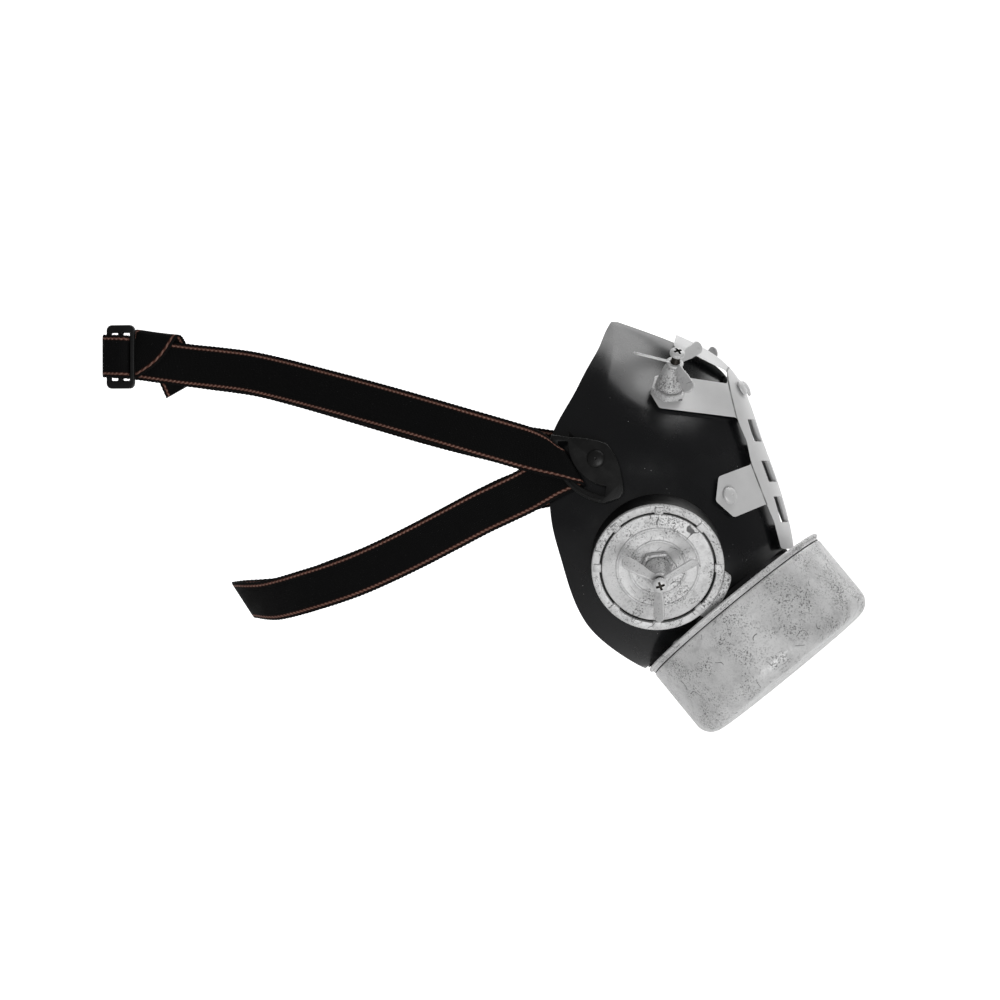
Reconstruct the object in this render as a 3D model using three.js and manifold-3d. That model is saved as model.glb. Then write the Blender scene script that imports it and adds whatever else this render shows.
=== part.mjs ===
// A gas mask style costume mask, upright as it is worn: face shell, grille plate, two side valves with wing
// bolts, canister, strap tabs, and one elastic head strap with a slider. Millimetres, +Z up.
// The mask is built in its own frame: x to the front of the nose, y up the face, z to the wearer's right.
import * as THREE from "three";
import { mergeVertices } from "three/addons/utils/BufferGeometryUtils.js";
import Module from "manifold-3d";

const wasm = await Module();
wasm.setup();

// Driving dimensions
const CLEARANCE = 0.35; // between pieces that touch on the real mask
const SHELL_HEIGHT = 158;
const SHELL_DEPTH = 104; // rear of the cheeks to the front of the nose
const SHELL_HALF_WIDTH = 54;
const SHELL_WALL = 2.2;
const RIM_REACH = 12; // how far the hollow's cutter reaches out of the open back

const CANISTER_RADIUS = 48;
const CANISTER_DEPTH = 41.4;
const CANISTER_EDGE = 8; // round of the front edge
const CANISTER_TILT = 50.3; // degrees that the axis looks down
const CANISTER_CENTRE = [0.364, -0.291]; // centre of its back, as shares of shell depth and height
const BACK_THICKNESS = 3;
const BACK_LIP = 0.9; // the rolled rim stands out this far
const NECK_RADIUS = 34;
const NECK_LENGTH = 5;
const MOUTH_RADIUS = 26;

const PLATE_THICKNESS = 1.2;
const PLATE_STANDOFF = 2.6; // of the plate's front off the nose
const ARM_STANDOFF = 0.6;
const PLATE_HALF_WIDTH = 19; // where the front turns into the arms
const PLATE_TURN = [0.8, 1.25]; // where the standoff falls to the arms', as shares of the half width
const SLOT_INNER = 2.6;
const SLOT_OUTER = 11;
const RIVET_RADIUS = 3.9;
const RIVET_RISE = 1.9;

const VALVE_RADIUS = 29.3;
const VALVE_BASE_RISE = 6.2;
const RING_WIDTH = 3.4;
const RING_HEIGHT = 2.6;
const RING_CHAMFER = 0.6;
const LUG_COUNT = 8;
const LUG_WIDTH = 3.8;
const LUG_RISE = 0.8;
const DISC_GAP = 1.1; // open groove between disc and ring
const DISC_HEIGHT = 2.2;
const DISC_RINGS = [18.1, 12.4]; // radii of the raised rings
const DISC_BEAD = 0.7; // height and half width of a raised ring
const CATCH_REACH = 4;
const CATCH_HEIGHT = 4.5;
const CATCH_TURN = [-52, -6]; // degrees round the valve
const CATCH_TAPER = 4; // degrees less at its outer edge

const NUT_RADIUS = 8.5; // across the corners, halved
const NUT_HEIGHT = 3;
const CONE_FOOT_RADIUS = 6.2;
const CONE_TOP_RADIUS = 3.85;
const CONE_HEIGHT = 12;
const CONE_SKIRT = 2; // straight foot of the cone
const WING_REACH = 19;
const WING_WIDTH = 6;
const WING_THICKNESS = 2;
const WING_HUB_RADIUS = 4.5;
const SHANK_RADIUS = 2;
const SHANK_LENGTH = 6; // from the cone's top to under the screw head
const SCREW_HEAD_RADIUS = 3.4;
const SCREW_HEAD_HEIGHT = 2.6;
const SCREW_HEAD_ROUND = 0.8;
// The cross recess: width and length as shares of the head's radius, depth as a share of its height
const RECESS_SHARES = { wide: 0.3, long: 1.2, deep: 0.5 };

const TAB_THICKNESS = 2.2;
const TAB_SLOT_WIDTH = 4.4;
const TAB_BAR_WIDTH = 3.2;
const TAB_RISE = 1.6; // of the tab off the cheek
const TAB_END_TURN = 6; // degrees that the tab goes past the end of its slot
const SLOT_RADIUS = 20.3; // inner edge of the curved slot
const SLOT_BAND_AT = 212; // degrees round the slot where the strap passes

const STRAP_WIDTH = 20;
const STRAP_THICKNESS = 1.2;
const STRAP_STEPS = 2;
const UPPER_REACH = 219; // from the tab's slot back to the slider
const UPPER_RISE = 51.8;
const LOWER_REACH = 163.4; // from the tab's slot back to the end of the lower loop
const LOWER_DROP = 60.7;
const SLIDER_OUT = 10; // slider's distance to the right of the middle
const SLIDER_YAW = 5;
const SLIDER_WIDTH = 13.6;
const SLIDER_HEIGHT = 29.5;
const SLIDER_THICKNESS = 2.4;
const SLIDER_BAR = 2.2;
const SLIDER_CORNER = 2.5;

// Face shell sections, from the top of the nose to the chin. Lengths are shares: v of the shell's height,
// and for each stretch of the half section x of its depth and z of its half width.
const SECTIONS = [
  { v: 0.513, rim: [-0.163, 0.09], ridge: [-0.158, 0.08], cheek: [-0.152, 0.06],
    nose: [-0.146, 0.035], front: -0.138 },
  { v: 0.481, rim: [-0.178, 0.24], ridge: [-0.144, 0.21], cheek: [-0.077, 0.12],
    nose: [-0.03, 0.065], front: 0 },
  { v: 0.43, rim: [-0.188, 0.48], ridge: [-0.125, 0.43], cheek: [0.02, 0.215],
    nose: [0.135, 0.115], front: 0.19 },
  { v: 0.367, rim: [-0.226, 0.69], ridge: [-0.12, 0.64], cheek: [0.075, 0.31],
    nose: [0.288, 0.22], front: 0.327 },
  { v: 0.291, rim: [-0.273, 0.82], ridge: [-0.135, 0.8], cheek: [0.085, 0.6],
    nose: [0.355, 0.335], front: 0.394 },
  { v: 0.171, rim: [-0.368, 0.91], ridge: [-0.202, 0.945], cheek: [0.135, 0.855],
    nose: [0.404, 0.355], front: 0.458 },
  { v: 0.057, rim: [-0.365, 0.95], ridge: [-0.212, 0.98], cheek: [0.192, 0.87],
    nose: [0.462, 0.37], front: 0.524 },
  { v: -0.063, rim: [-0.356, 0.95], ridge: [-0.192, 1], cheek: [0.25, 0.87],
    nose: [0.514, 0.4], front: 0.577 },
  { v: -0.171, rim: [-0.317, 0.87], ridge: [-0.154, 0.92], cheek: [0.269, 0.79],
    nose: [0.538, 0.44], front: 0.6 },
  { v: -0.272, rim: [-0.279, 0.77], ridge: [-0.115, 0.79], cheek: [0.269, 0.68],
    nose: [0.5, 0.44], front: 0.56 },
  { v: -0.361, rim: [-0.221, 0.62], ridge: [-0.077, 0.63], cheek: [0.212, 0.55],
    nose: [0.404, 0.37], front: 0.46 },
  { v: -0.43, rim: [-0.12, 0.41], ridge: [-0.02, 0.415], cheek: [0.154, 0.36],
    nose: [0.288, 0.24], front: 0.33 },
  { v: -0.475, rim: [-0.03, 0.19], ridge: [0.02, 0.19], cheek: [0.096, 0.165],
    nose: [0.163, 0.11], front: 0.19 },
  { v: -0.487, rim: [0, 0.07], ridge: [0.02, 0.07], cheek: [0.05, 0.06], nose: [0.085, 0.04], front: 0.1 },
];
const ROW_STEPS = 2; // rows from one section to the next
const COLUMN_STEPS = 24; // columns from rim to rim

// Side outline of the grille plate, as shares of shell depth and height.
const PLATE_OUTLINE = [
  [0.12, 0.56], [0.12, 0.44], [0.224, 0.41], [0.352, 0.367], [0.362, 0.331], [0.21, 0.346], [0.122, 0.354],
  [0.046, 0.305], [0.094, 0.259], [0.405, 0.234], [0.448, 0.165], [0.469, 0.101], [0.346, 0.066],
  [0.339, -0.003], [0.412, -0.049], [0.534, -0.011], [0.566, -0.063], [0.596, -0.139], [0.9, -0.139],
  [0.9, 0.56],
];
// Slots of the plate: lower and upper edge, as shares of the shell's height.
const SLOT_ROWS = [[0.167, 0.23], [0.052, 0.112], [-0.063, 0.01]];
// Where things sit on the cheek, as shares of shell depth and height.
const VALVE_SEAT = [0.095, -0.172];
const ARM_BOLT_SEAT = [0.115, 0.297];
const LOW_RIVET_SEAT = [0.397, 0.009];
const TOP_RIVET_HEIGHT = 0.308;
const TOP_RIVET_OUT = 7.5;
const TAB_RIVET_SEAT = [-0.155, 0.112];
// How far round each seat the cheek's direction is read
const SEAT_SPREADS = { valve: 18, arm: 7, tab: 8, lowRivet: 6, topRivet: 4 };

// Tab outline round its rivet, in the tab's own plane: x to the front, y up the face.
const TAB_OUTLINE = [
  [10.6, -17.3], [12.5, -14.6], [12, -10], [10.6, -3.6], [8.8, 0.9], [6.5, 4.5], [4.6, 6.8], [0.5, 8.2],
  [-5.5, 9.4], [-12.4, 9.8],
];

const degrees = THREE.MathUtils.degToRad;
const vector = (x, y, z) => new THREE.Vector3(x, y, z);

// Solids from closed geometry, and geometry from solids
function solid(geometry) {
  const g = geometry.clone();
  g.deleteAttribute("normal");
  g.deleteAttribute("uv");
  const merged = mergeVertices(g, 1e-4);
  return new wasm.Manifold(
    new wasm.Mesh({
      numProp: 3,
      vertProperties: Float32Array.from(merged.attributes.position.array),
      triVerts: Uint32Array.from(merged.index.array),
    }),
  );
}

function geometryOf(body) {
  const mesh = body.getMesh();
  const g = new THREE.BufferGeometry();
  g.setAttribute("position", new THREE.BufferAttribute(Float32Array.from(mesh.vertProperties), 3));
  g.setIndex(new THREE.BufferAttribute(Uint32Array.from(mesh.triVerts), 1));
  g.computeVertexNormals();
  return g;
}

// A closed solid through loops of points that all run the same way round
function loft(loops) {
  const count = loops[0].length;
  const points = loops.flat();
  const faces = [];
  for (let row = 0; row + 1 < loops.length; row++)
    for (let i = 0; i < count; i++) {
      const a = row * count + i;
      const b = row * count + ((i + 1) % count);
      faces.push(a, a + count, b, b, a + count, b + count);
    }
  for (const [first, turn] of [[0, true], [(loops.length - 1) * count, false]]) {
    const centre = new THREE.Vector3();
    for (let i = 0; i < count; i++) centre.addScaledVector(points[first + i], 1 / count);
    const hub = points.push(centre) - 1;
    for (let i = 0; i < count; i++) {
      const a = first + i;
      const b = first + ((i + 1) % count);
      faces.push(...(turn ? [hub, a, b] : [hub, b, a]));
    }
  }
  const g = new THREE.BufferGeometry().setFromPoints(points);
  g.setIndex(faces);
  return g;
}

// The outer surface of the face shell as a grid: rows from the top to the chin, columns from right to left
const COLUMNS = ["rim", "ridge", "cheek", "nose"];
const heightLines = COLUMNS.map(
  (name) =>
    new THREE.CatmullRomCurve3(
      SECTIONS.map(({ v, [name]: [x, z] }) =>
        vector(x * SHELL_DEPTH, v * SHELL_HEIGHT, z * SHELL_HALF_WIDTH)),
      false,
      "centripetal",
    ),
);
const frontLine = new THREE.CatmullRomCurve3(
  SECTIONS.map((s) => vector(s.front * SHELL_DEPTH, s.v * SHELL_HEIGHT, 0)),
  false,
  "centripetal",
);
const ROWS = (SECTIONS.length - 1) * ROW_STEPS;
const mirrored = (p) => vector(p.x, p.y, -p.z);

function surfaceRow(share) {
  const right = heightLines.map((line) => line.getPoint(share));
  const points = [...right, frontLine.getPoint(share), ...right.map(mirrored).reverse()];
  const across = new THREE.CatmullRomCurve3(points, false, "centripetal");
  return across.getPoints(COLUMN_STEPS);
}
const surface = Array.from({ length: ROWS + 1 }, (_, row) => surfaceRow(row / ROWS));

function surfaceNormal(row, column) {
  const up = surface[Math.max(row - 1, 0)][column].clone();
  up.sub(surface[Math.min(row + 1, ROWS)][column]);
  const left = surface[row][Math.min(column + 1, COLUMN_STEPS)].clone();
  left.sub(surface[row][Math.max(column - 1, 0)]);
  return left.cross(up).normalize();
}

// The shell's body moved out by a distance, which may change from the middle of the nose to the side.
// Its back reaches further out when it is the cutter of the hollow.
function bodyOffset(distance, reach = 0, firstRow = 0, lastRow = ROWS) {
  const loops = [];
  for (let row = firstRow; row <= lastRow; row++) {
    const loop = surface[row].map((p, column) =>
      p.clone().addScaledVector(surfaceNormal(row, column), distance(Math.abs(p.z))),
    );
    if (reach) {
      loop.unshift(loop[0].clone().add(vector(-reach, 0, 0)));
      loop.push(loop[loop.length - 1].clone().add(vector(-reach, 0, 0)));
    }
    loops.push(loop);
  }
  return solid(loft(loops));
}

// A matrix that sets local z along an axis at a point, with local y as near as can be up the face
function seatMatrix(origin, axis) {
  const z = axis.clone().normalize();
  const x = vector(0, 1, 0).cross(z).normalize();
  const y = z.clone().cross(x);
  return new THREE.Matrix4().makeBasis(x, y, z).setPosition(origin);
}

// A turned solid about local z; each profile point is [radius, height] and the ends lie on the axis
function turned(profile, sides) {
  const g = new THREE.LatheGeometry(profile.map(([r, z]) => new THREE.Vector2(r, z)), sides);
  return g.rotateX(Math.PI / 2);
}

function slab(outline, bottom, top, holes = []) {
  const shape = new THREE.Shape(outline);
  shape.holes.push(...holes.map((hole) => new THREE.Path(hole)));
  const g = new THREE.ExtrudeGeometry(shape, { depth: top - bottom, bevelEnabled: false });
  return g.translate(0, 0, bottom);
}

function arcPoints(centre, radius, from, to, steps) {
  return Array.from({ length: steps + 1 }, (_, i) => {
    const angle = degrees(from + ((to - from) * i) / steps);
    return new THREE.Vector2(centre[0] + radius * Math.cos(angle), centre[1] + radius * Math.sin(angle));
  });
}

// Canister frame: local z along its axis, away from the face
const canisterAxis = vector(Math.cos(degrees(CANISTER_TILT)), -Math.sin(degrees(CANISTER_TILT)), 0);
const canisterOrigin = vector(CANISTER_CENTRE[0] * SHELL_DEPTH, CANISTER_CENTRE[1] * SHELL_HEIGHT, 0);
const canisterMatrix = seatMatrix(canisterOrigin, canisterAxis);
const inCanister = (geometry) => solid(geometry).transform(canisterMatrix.elements);
const FAR = 400; // larger than the mask
const beyond = (height) => inCanister(new THREE.BoxGeometry(FAR, FAR, FAR).translate(0, 0, height + FAR / 2));
const ROUND_SIDES = 32;
const SMALL_SIDES = 12;
const drum = (radius, bottom, top, sides = ROUND_SIDES) =>
  turned([[0, bottom], [radius, bottom], [radius, top], [0, top]], sides);

// Face shell: moulded wall with a flat seat and a neck for the canister, open at the back
const outerBody = bodyOffset(() => 0);
const hollow = bodyOffset(() => -SHELL_WALL, RIM_REACH, 1, ROWS - 1)
  .subtract(beyond(-NECK_LENGTH - SHELL_WALL));
const faceShell = outerBody
  .subtract(beyond(-NECK_LENGTH))
  .add(inCanister(drum(NECK_RADIUS, -NECK_LENGTH - SHELL_WALL, -CLEARANCE)))
  .subtract(hollow)
  .subtract(inCanister(drum(MOUTH_RADIUS, -NECK_LENGTH - 3 * SHELL_WALL, FAR)));

// The point of the shell that a line meets, and the surface's direction round it
const target = new THREE.Mesh(geometryOf(outerBody), new THREE.MeshBasicMaterial({ side: THREE.DoubleSide }));
function hit(origin, direction) {
  const ray = new THREE.Raycaster(origin, direction);
  return ray.intersectObject(target)[0].point;
}
function seatOn(point, direction, spread) {
  const start = point.clone().addScaledVector(direction, -FAR);
  const one = vector(0, 1, 0);
  const two = one.clone().cross(direction).normalize();
  const at = (a, b) =>
    hit(start.clone().addScaledVector(one, a * spread).addScaledVector(two, b * spread), direction);
  const normal = at(1, 0).sub(at(-1, 0)).cross(at(0, 1).sub(at(0, -1))).normalize();
  if (normal.dot(direction) > 0) normal.negate();
  return { point: at(0, 0), normal };
}
const fromRight = vector(0, 0, -1);
const fromFront = vector(-1, 0, 0);
const cheekSeat = ([x, y], spread) => seatOn(vector(x * SHELL_DEPTH, y * SHELL_HEIGHT, 0), fromRight, spread);

// Grille plate: a bent sheet that follows the shell, further off it at the nose
function plateStandoff(z) {
  const [from, to] = PLATE_TURN.map((share) => share * PLATE_HALF_WIDTH);
  const blend = THREE.MathUtils.smoothstep(z, from, to);
  return THREE.MathUtils.lerp(PLATE_STANDOFF, ARM_STANDOFF, blend);
}
const sideShape = PLATE_OUTLINE.map(([x, y]) => new THREE.Vector2(x * SHELL_DEPTH, y * SHELL_HEIGHT));
let grillePlate = bodyOffset((z) => plateStandoff(z) + PLATE_THICKNESS)
  .subtract(bodyOffset(plateStandoff, RIM_REACH))
  .intersect(solid(slab(sideShape, -FAR / 2, FAR / 2)))
  .subtract(beyond(-BACK_LIP - CLEARANCE));
for (const [low, high] of SLOT_ROWS)
  for (const side of [-1, 1]) {
    const slot = new THREE.BoxGeometry(FAR, (high - low) * SHELL_HEIGHT, SLOT_OUTER - SLOT_INNER);
    slot.translate(FAR / 2, ((low + high) / 2) * SHELL_HEIGHT, (side * (SLOT_OUTER + SLOT_INNER)) / 2);
    grillePlate = grillePlate.subtract(solid(slot));
  }

// Canister: a drum with a rounded front edge, and its back with a rolled rim
function canisterProfile() {
  const round = arcPoints(
    [CANISTER_RADIUS - CANISTER_EDGE, CANISTER_DEPTH - CANISTER_EDGE], CANISTER_EDGE, 0, 90, 5,
  ).map((p) => [p.x, p.y]);
  const foot = BACK_THICKNESS + CLEARANCE;
  return [[0, foot], [CANISTER_RADIUS, foot], ...round, [0, CANISTER_DEPTH]];
}
const rim = CANISTER_RADIUS + BACK_LIP;
const roll = BACK_THICKNESS / 3;
const backProfile = [
  [0, 0], [rim - roll, 0], [rim, roll], [rim, BACK_THICKNESS - roll], [rim - roll, BACK_THICKNESS],
  [0, BACK_THICKNESS],
];
const CANISTER_SIDES = 40;

// Side valve, in its own frame: local z along its axis, 0 at the top of its black base
const ringInner = VALVE_RADIUS - RING_WIDTH;
const discRadius = ringInner - DISC_GAP;
function valveRing() {
  let ring = solid(
    turned(
      [[0, CLEARANCE], [VALVE_RADIUS, CLEARANCE], [VALVE_RADIUS, RING_HEIGHT - RING_CHAMFER],
        [VALVE_RADIUS - RING_CHAMFER, RING_HEIGHT], [0, RING_HEIGHT]],
      ROUND_SIDES,
    ),
  ).subtract(solid(drum(ringInner, -1, RING_HEIGHT + 1, ROUND_SIDES)));
  for (let i = 0; i < LUG_COUNT; i++) {
    const inner = discRadius + CLEARANCE;
    const outer = VALVE_RADIUS - RING_CHAMFER - CLEARANCE;
    const lug = new THREE.BoxGeometry(outer - inner, LUG_WIDTH, RING_HEIGHT + LUG_RISE - CLEARANCE);
    lug.translate((outer + inner) / 2, 0, (RING_HEIGHT + LUG_RISE + CLEARANCE) / 2);
    lug.rotateZ((i * 2 * Math.PI) / LUG_COUNT + Math.PI / 2);
    ring = ring.add(solid(lug));
  }
  return ring;
}
function valveDisc() {
  const profile = [[0, CLEARANCE], [discRadius, CLEARANCE], [discRadius, DISC_HEIGHT]];
  for (const r of DISC_RINGS)
    profile.push([r + DISC_BEAD, DISC_HEIGHT], [r, DISC_HEIGHT + DISC_BEAD], [r - DISC_BEAD, DISC_HEIGHT]);
  return solid(turned([...profile, [0, DISC_HEIGHT]], ROUND_SIDES));
}
function valveCatch() {
  const [from, to] = CATCH_TURN;
  const reach = VALVE_RADIUS + CATCH_REACH;
  const outline = [
    ...arcPoints([0, 0], VALVE_RADIUS + CLEARANCE, from, to, 8),
    ...arcPoints([0, 0], reach, to - CATCH_TAPER, from + CATCH_TAPER, 8),
  ];
  return solid(slab(outline, -CATCH_HEIGHT, 0));
}
const valveBase = () => solid(drum(VALVE_RADIUS, -VALVE_RADIUS, 0, ROUND_SIDES));

// Wing bolt on a hex nut and a cone, in its own frame: local z along its axis, 0 at its seat
const coneFoot = NUT_HEIGHT + CLEARANCE;
const coneTop = coneFoot + CONE_HEIGHT;
const wingFoot = coneTop + CLEARANCE;
const headFoot = coneTop + SHANK_LENGTH;
function hexNut() {
  const nut = new THREE.CylinderGeometry(NUT_RADIUS, NUT_RADIUS, NUT_HEIGHT, 6);
  return solid(nut.rotateX(Math.PI / 2).translate(0, 0, NUT_HEIGHT / 2));
}
const cone = () => solid(
  turned([[0, coneFoot], [CONE_FOOT_RADIUS, coneFoot], [CONE_FOOT_RADIUS, coneFoot + CONE_SKIRT],
    [CONE_TOP_RADIUS, coneTop], [0, coneTop]], SMALL_SIDES),
);
function wing(turn) {
  const half = WING_WIDTH / 2;
  const outline = [];
  for (let i = 0; i < 3; i++) {
    const angle = degrees(turn + 120 * i);
    const centre = [(WING_REACH - half) * Math.cos(angle), (WING_REACH - half) * Math.sin(angle)];
    const facing = turn + 120 * i;
    outline.push(...arcPoints(centre, half, facing - 90, facing + 90, 5));
    const between = degrees(facing + 60);
    const crotch = half / Math.sin(Math.PI / 3);
    outline.push(new THREE.Vector2(crotch * Math.cos(between), crotch * Math.sin(between)));
  }
  const hub = drum(WING_HUB_RADIUS, wingFoot, wingFoot + WING_THICKNESS, SMALL_SIDES);
  const blades = slab(outline, wingFoot, wingFoot + WING_THICKNESS);
  return solid(blades).add(solid(hub)).subtract(solid(drum(SHANK_RADIUS + CLEARANCE, 0, FAR, SMALL_SIDES)));
}
function screw() {
  const top = headFoot + SCREW_HEAD_HEIGHT;
  const body = solid(
    turned([[0, wingFoot], [SHANK_RADIUS, wingFoot], [SHANK_RADIUS, headFoot], [SCREW_HEAD_RADIUS, headFoot],
      [SCREW_HEAD_RADIUS, top - SCREW_HEAD_ROUND], [SCREW_HEAD_RADIUS - SCREW_HEAD_ROUND, top], [0, top]],
    SMALL_SIDES),
  );
  const { wide, long, deep } = RECESS_SHARES;
  const recess = [long * SCREW_HEAD_RADIUS, wide * SCREW_HEAD_RADIUS, 2 * deep * SCREW_HEAD_HEIGHT];
  const bar = new THREE.BoxGeometry(...recess).translate(0, 0, top);
  return body.subtract(solid(bar)).subtract(solid(bar.clone().rotateZ(Math.PI / 2)));
}

const dome = () => solid(
  turned([[0, CLEARANCE], [RIVET_RADIUS, CLEARANCE],
    ...arcPoints([0, 0], 1, 15, 70, 2).map((p) => [RIVET_RADIUS * p.x, CLEARANCE + RIVET_RISE * p.y]),
    [0, CLEARANCE + RIVET_RISE]], SMALL_SIDES),
);

// Strap tab, in its own frame: local z off the cheek, 0 at its rivet on the cheek
const SLOT_CENTRE = [7.5, 8];
const SLOT_TURN = [180, 262];
function strapTab() {
  const outer = SLOT_RADIUS + TAB_SLOT_WIDTH + TAB_BAR_WIDTH;
  const wide = arcPoints(SLOT_CENTRE, outer, SLOT_TURN[0] - TAB_END_TURN, SLOT_TURN[1], 12);
  const rest = TAB_OUTLINE.map(([x, y]) => new THREE.Vector2(x, y));
  const slot = [
    ...arcPoints(SLOT_CENTRE, SLOT_RADIUS, ...SLOT_TURN, 10),
    ...arcPoints(SLOT_CENTRE, SLOT_RADIUS + TAB_SLOT_WIDTH, SLOT_TURN[1], SLOT_TURN[0], 10),
  ];
  const bottom = TAB_RISE;
  const boss = drum(RIVET_RADIUS, -RIVET_RADIUS, bottom + TAB_THICKNESS / 2, 20);
  return solid(slab([...wide, ...rest], bottom, bottom + TAB_THICKNESS, [slot])).add(solid(boss));
}

// Materials, one for each finish
const finish = (color, roughness, metalness) => () =>
  new THREE.MeshStandardMaterial({ color, roughness, metalness });
const blackShell = finish(0x0c0c10, 0.22, 0);
const silverPaint = finish(0xbfc1c4, 0.5, 0.35);
const greyPaint = finish(0xb9bbbe, 0.45, 0.3);
const blackPlastic = finish(0x111114, 0.35, 0);
const elastic = finish(0x0a0a0b, 0.9, 0);

function piece(name, geometry, material, matrix = new THREE.Matrix4()) {
  const mesh = new THREE.Mesh(geometry, material());
  mesh.name = name;
  mesh.applyMatrix4(matrix);
  return mesh;
}
const shifted = (matrix, height) =>
  matrix.clone().multiply(new THREE.Matrix4().makeTranslation(0, 0, height));

// The mask: middle pieces, then the right side and its mirror image
const mask = new THREE.Group();
mask.add(
  piece("face_shell", geometryOf(faceShell), blackShell),
  piece("grille_plate", geometryOf(grillePlate), greyPaint),
  piece("canister_body", turned(canisterProfile(), CANISTER_SIDES), silverPaint, canisterMatrix),
  piece("canister_back", turned(backProfile, CANISTER_SIDES), silverPaint, canisterMatrix),
);

const clearBody = bodyOffset(() => CLEARANCE);
const plug = clearBody
  .add(clearBody.transform(new THREE.Matrix4().makeScale(1, 1, -1).elements))
  .add(inCanister(drum(NECK_RADIUS + CLEARANCE, -NECK_LENGTH - SHELL_WALL, 0)))
  .add(beyond(-2 * CLEARANCE));
const onCheek = ({ point, normal }, height) =>
  seatMatrix(point.clone().addScaledVector(normal, height), normal);
const fitted = (body, matrix) => geometryOf(body.transform(matrix.elements).subtract(plug));

const armFront = ARM_STANDOFF + PLATE_THICKNESS;
const valveMatrix = onCheek(cheekSeat(VALVE_SEAT, SEAT_SPREADS.valve), VALVE_BASE_RISE);
const armMatrix = onCheek(cheekSeat(ARM_BOLT_SEAT, SEAT_SPREADS.arm), armFront + 2 * CLEARANCE);
const tabFront = TAB_RISE + TAB_THICKNESS;
const tabMatrix = onCheek(cheekSeat(TAB_RIVET_SEAT, SEAT_SPREADS.tab), CLEARANCE);
const lowRivetMatrix = onCheek(cheekSeat(LOW_RIVET_SEAT, SEAT_SPREADS.lowRivet), armFront);
const topRivetPoint = vector(0, TOP_RIVET_HEIGHT * SHELL_HEIGHT, TOP_RIVET_OUT);
const topRivetSeat = seatOn(topRivetPoint, fromFront, SEAT_SPREADS.topRivet);
const topRivetMatrix = onCheek(topRivetSeat, PLATE_STANDOFF + PLATE_THICKNESS);

function wingBolt(place, side, matrix, turn) {
  return [
    piece(place + "_nut_" + side, geometryOf(hexNut()), silverPaint, matrix),
    piece(place + "_cone_" + side, geometryOf(cone()), silverPaint, matrix),
    piece(place + "_wing_" + side, geometryOf(wing(turn)), silverPaint, matrix),
    piece(place + "_screw_" + side, geometryOf(screw()), silverPaint, matrix),
  ];
}
const VALVE_WING_TURN = 30;
const ARM_WING_TURN = 40;
for (const side of ["right", "left"]) {
  const half = new THREE.Group();
  half.scale.z = side === "right" ? 1 : -1;
  half.add(
    piece("valve_base_" + side, fitted(valveBase(), valveMatrix), blackPlastic),
    piece("valve_catch_" + side, fitted(valveCatch(), valveMatrix), silverPaint),
    piece("valve_ring_" + side, geometryOf(valveRing()), silverPaint, valveMatrix),
    piece("valve_disc_" + side, geometryOf(valveDisc()), silverPaint, valveMatrix),
    ...wingBolt("valve", side, shifted(valveMatrix, DISC_HEIGHT + CLEARANCE), VALVE_WING_TURN),
    ...wingBolt("arm", side, armMatrix, ARM_WING_TURN),
    piece("strap_tab_" + side, fitted(strapTab(), tabMatrix), blackPlastic),
    piece("tab_rivet_" + side, geometryOf(dome()), blackPlastic, shifted(tabMatrix, tabFront)),
    piece("plate_rivet_low_" + side, geometryOf(dome()), silverPaint, lowRivetMatrix),
    piece("plate_rivet_top_" + side, geometryOf(dome()), silverPaint, topRivetMatrix),
  );
  mask.add(half);
}

// Head strap: one band, from its sewn end at the slider through the right tab, round the lower loop,
// through the left tab and back through the slider. Stretches in the slider's and the tab's own frames
// have x, y and z there. Stretches between have shares of the loop's reach, of its rise or drop, and of the
// tab's distance from the middle. turn is the slant of the band's width off upright, seen from the side.
const SEWN_END = [
  { x: -2.05, y: 0, z: -1.2, turn: 0 }, { x: -2.05, y: 0, z: 0.9, turn: 0 },
  { x: -1.75, y: 0, z: 1.75, turn: 0 },
  { x: 0, y: 0, z: 2.2, turn: 0 }, { x: 1.75, y: 0, z: 1.75, turn: 0 }, { x: 2.05, y: 0, z: 0.9, turn: 0 },
  { x: 2.1, y: 0, z: -1.2, turn: 0 }, { x: 2.4, y: 0, z: -2.4, turn: 0 },
  { x: 3.4, y: 0, z: -3.5, turn: 0 },
  { x: 5, y: -0.5, z: -4, turn: 1 }, { x: 9, y: -1, z: -4, turn: 3 }, { x: 16, y: -2, z: -4, turn: 5 },
];
const UPPER_RIGHT = [
  { along: 0.855, rise: 0.921, out: 0.16, turn: 7 }, { along: 0.718, rise: 0.851, out: 0.28, turn: 11 },
  { along: 0.558, rise: 0.695, out: 0.52, turn: 16 }, { along: 0.376, rise: 0.496, out: 0.81, turn: 16.5 },
  { along: 0.193, rise: 0.28, out: 1, turn: 16 }, { along: 0.102, rise: 0.17, out: 1.04, turn: 10 },
];
const THROUGH_TAB = [
  { x: -10.4, y: 4.7, z: 5.3, turn: -12 }, { x: -5, y: 2.4, z: 5.2, turn: -24 },
  { x: -1.6, y: 0.8, z: 5, turn: -30 },
  { x: -0.1, y: 0.1, z: 4, turn: -32 }, { x: 0, y: 0, z: 2.6, turn: -32 },
  { x: -0.1, y: -0.1, z: 1.3, turn: -32 },
  { x: -1.6, y: -0.6, z: 0.35, turn: -31 }, { x: -5, y: -2, z: 0.25, turn: -29 },
  { x: -10.4, y: -4.4, z: 0.2, turn: -26 },
];
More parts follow.
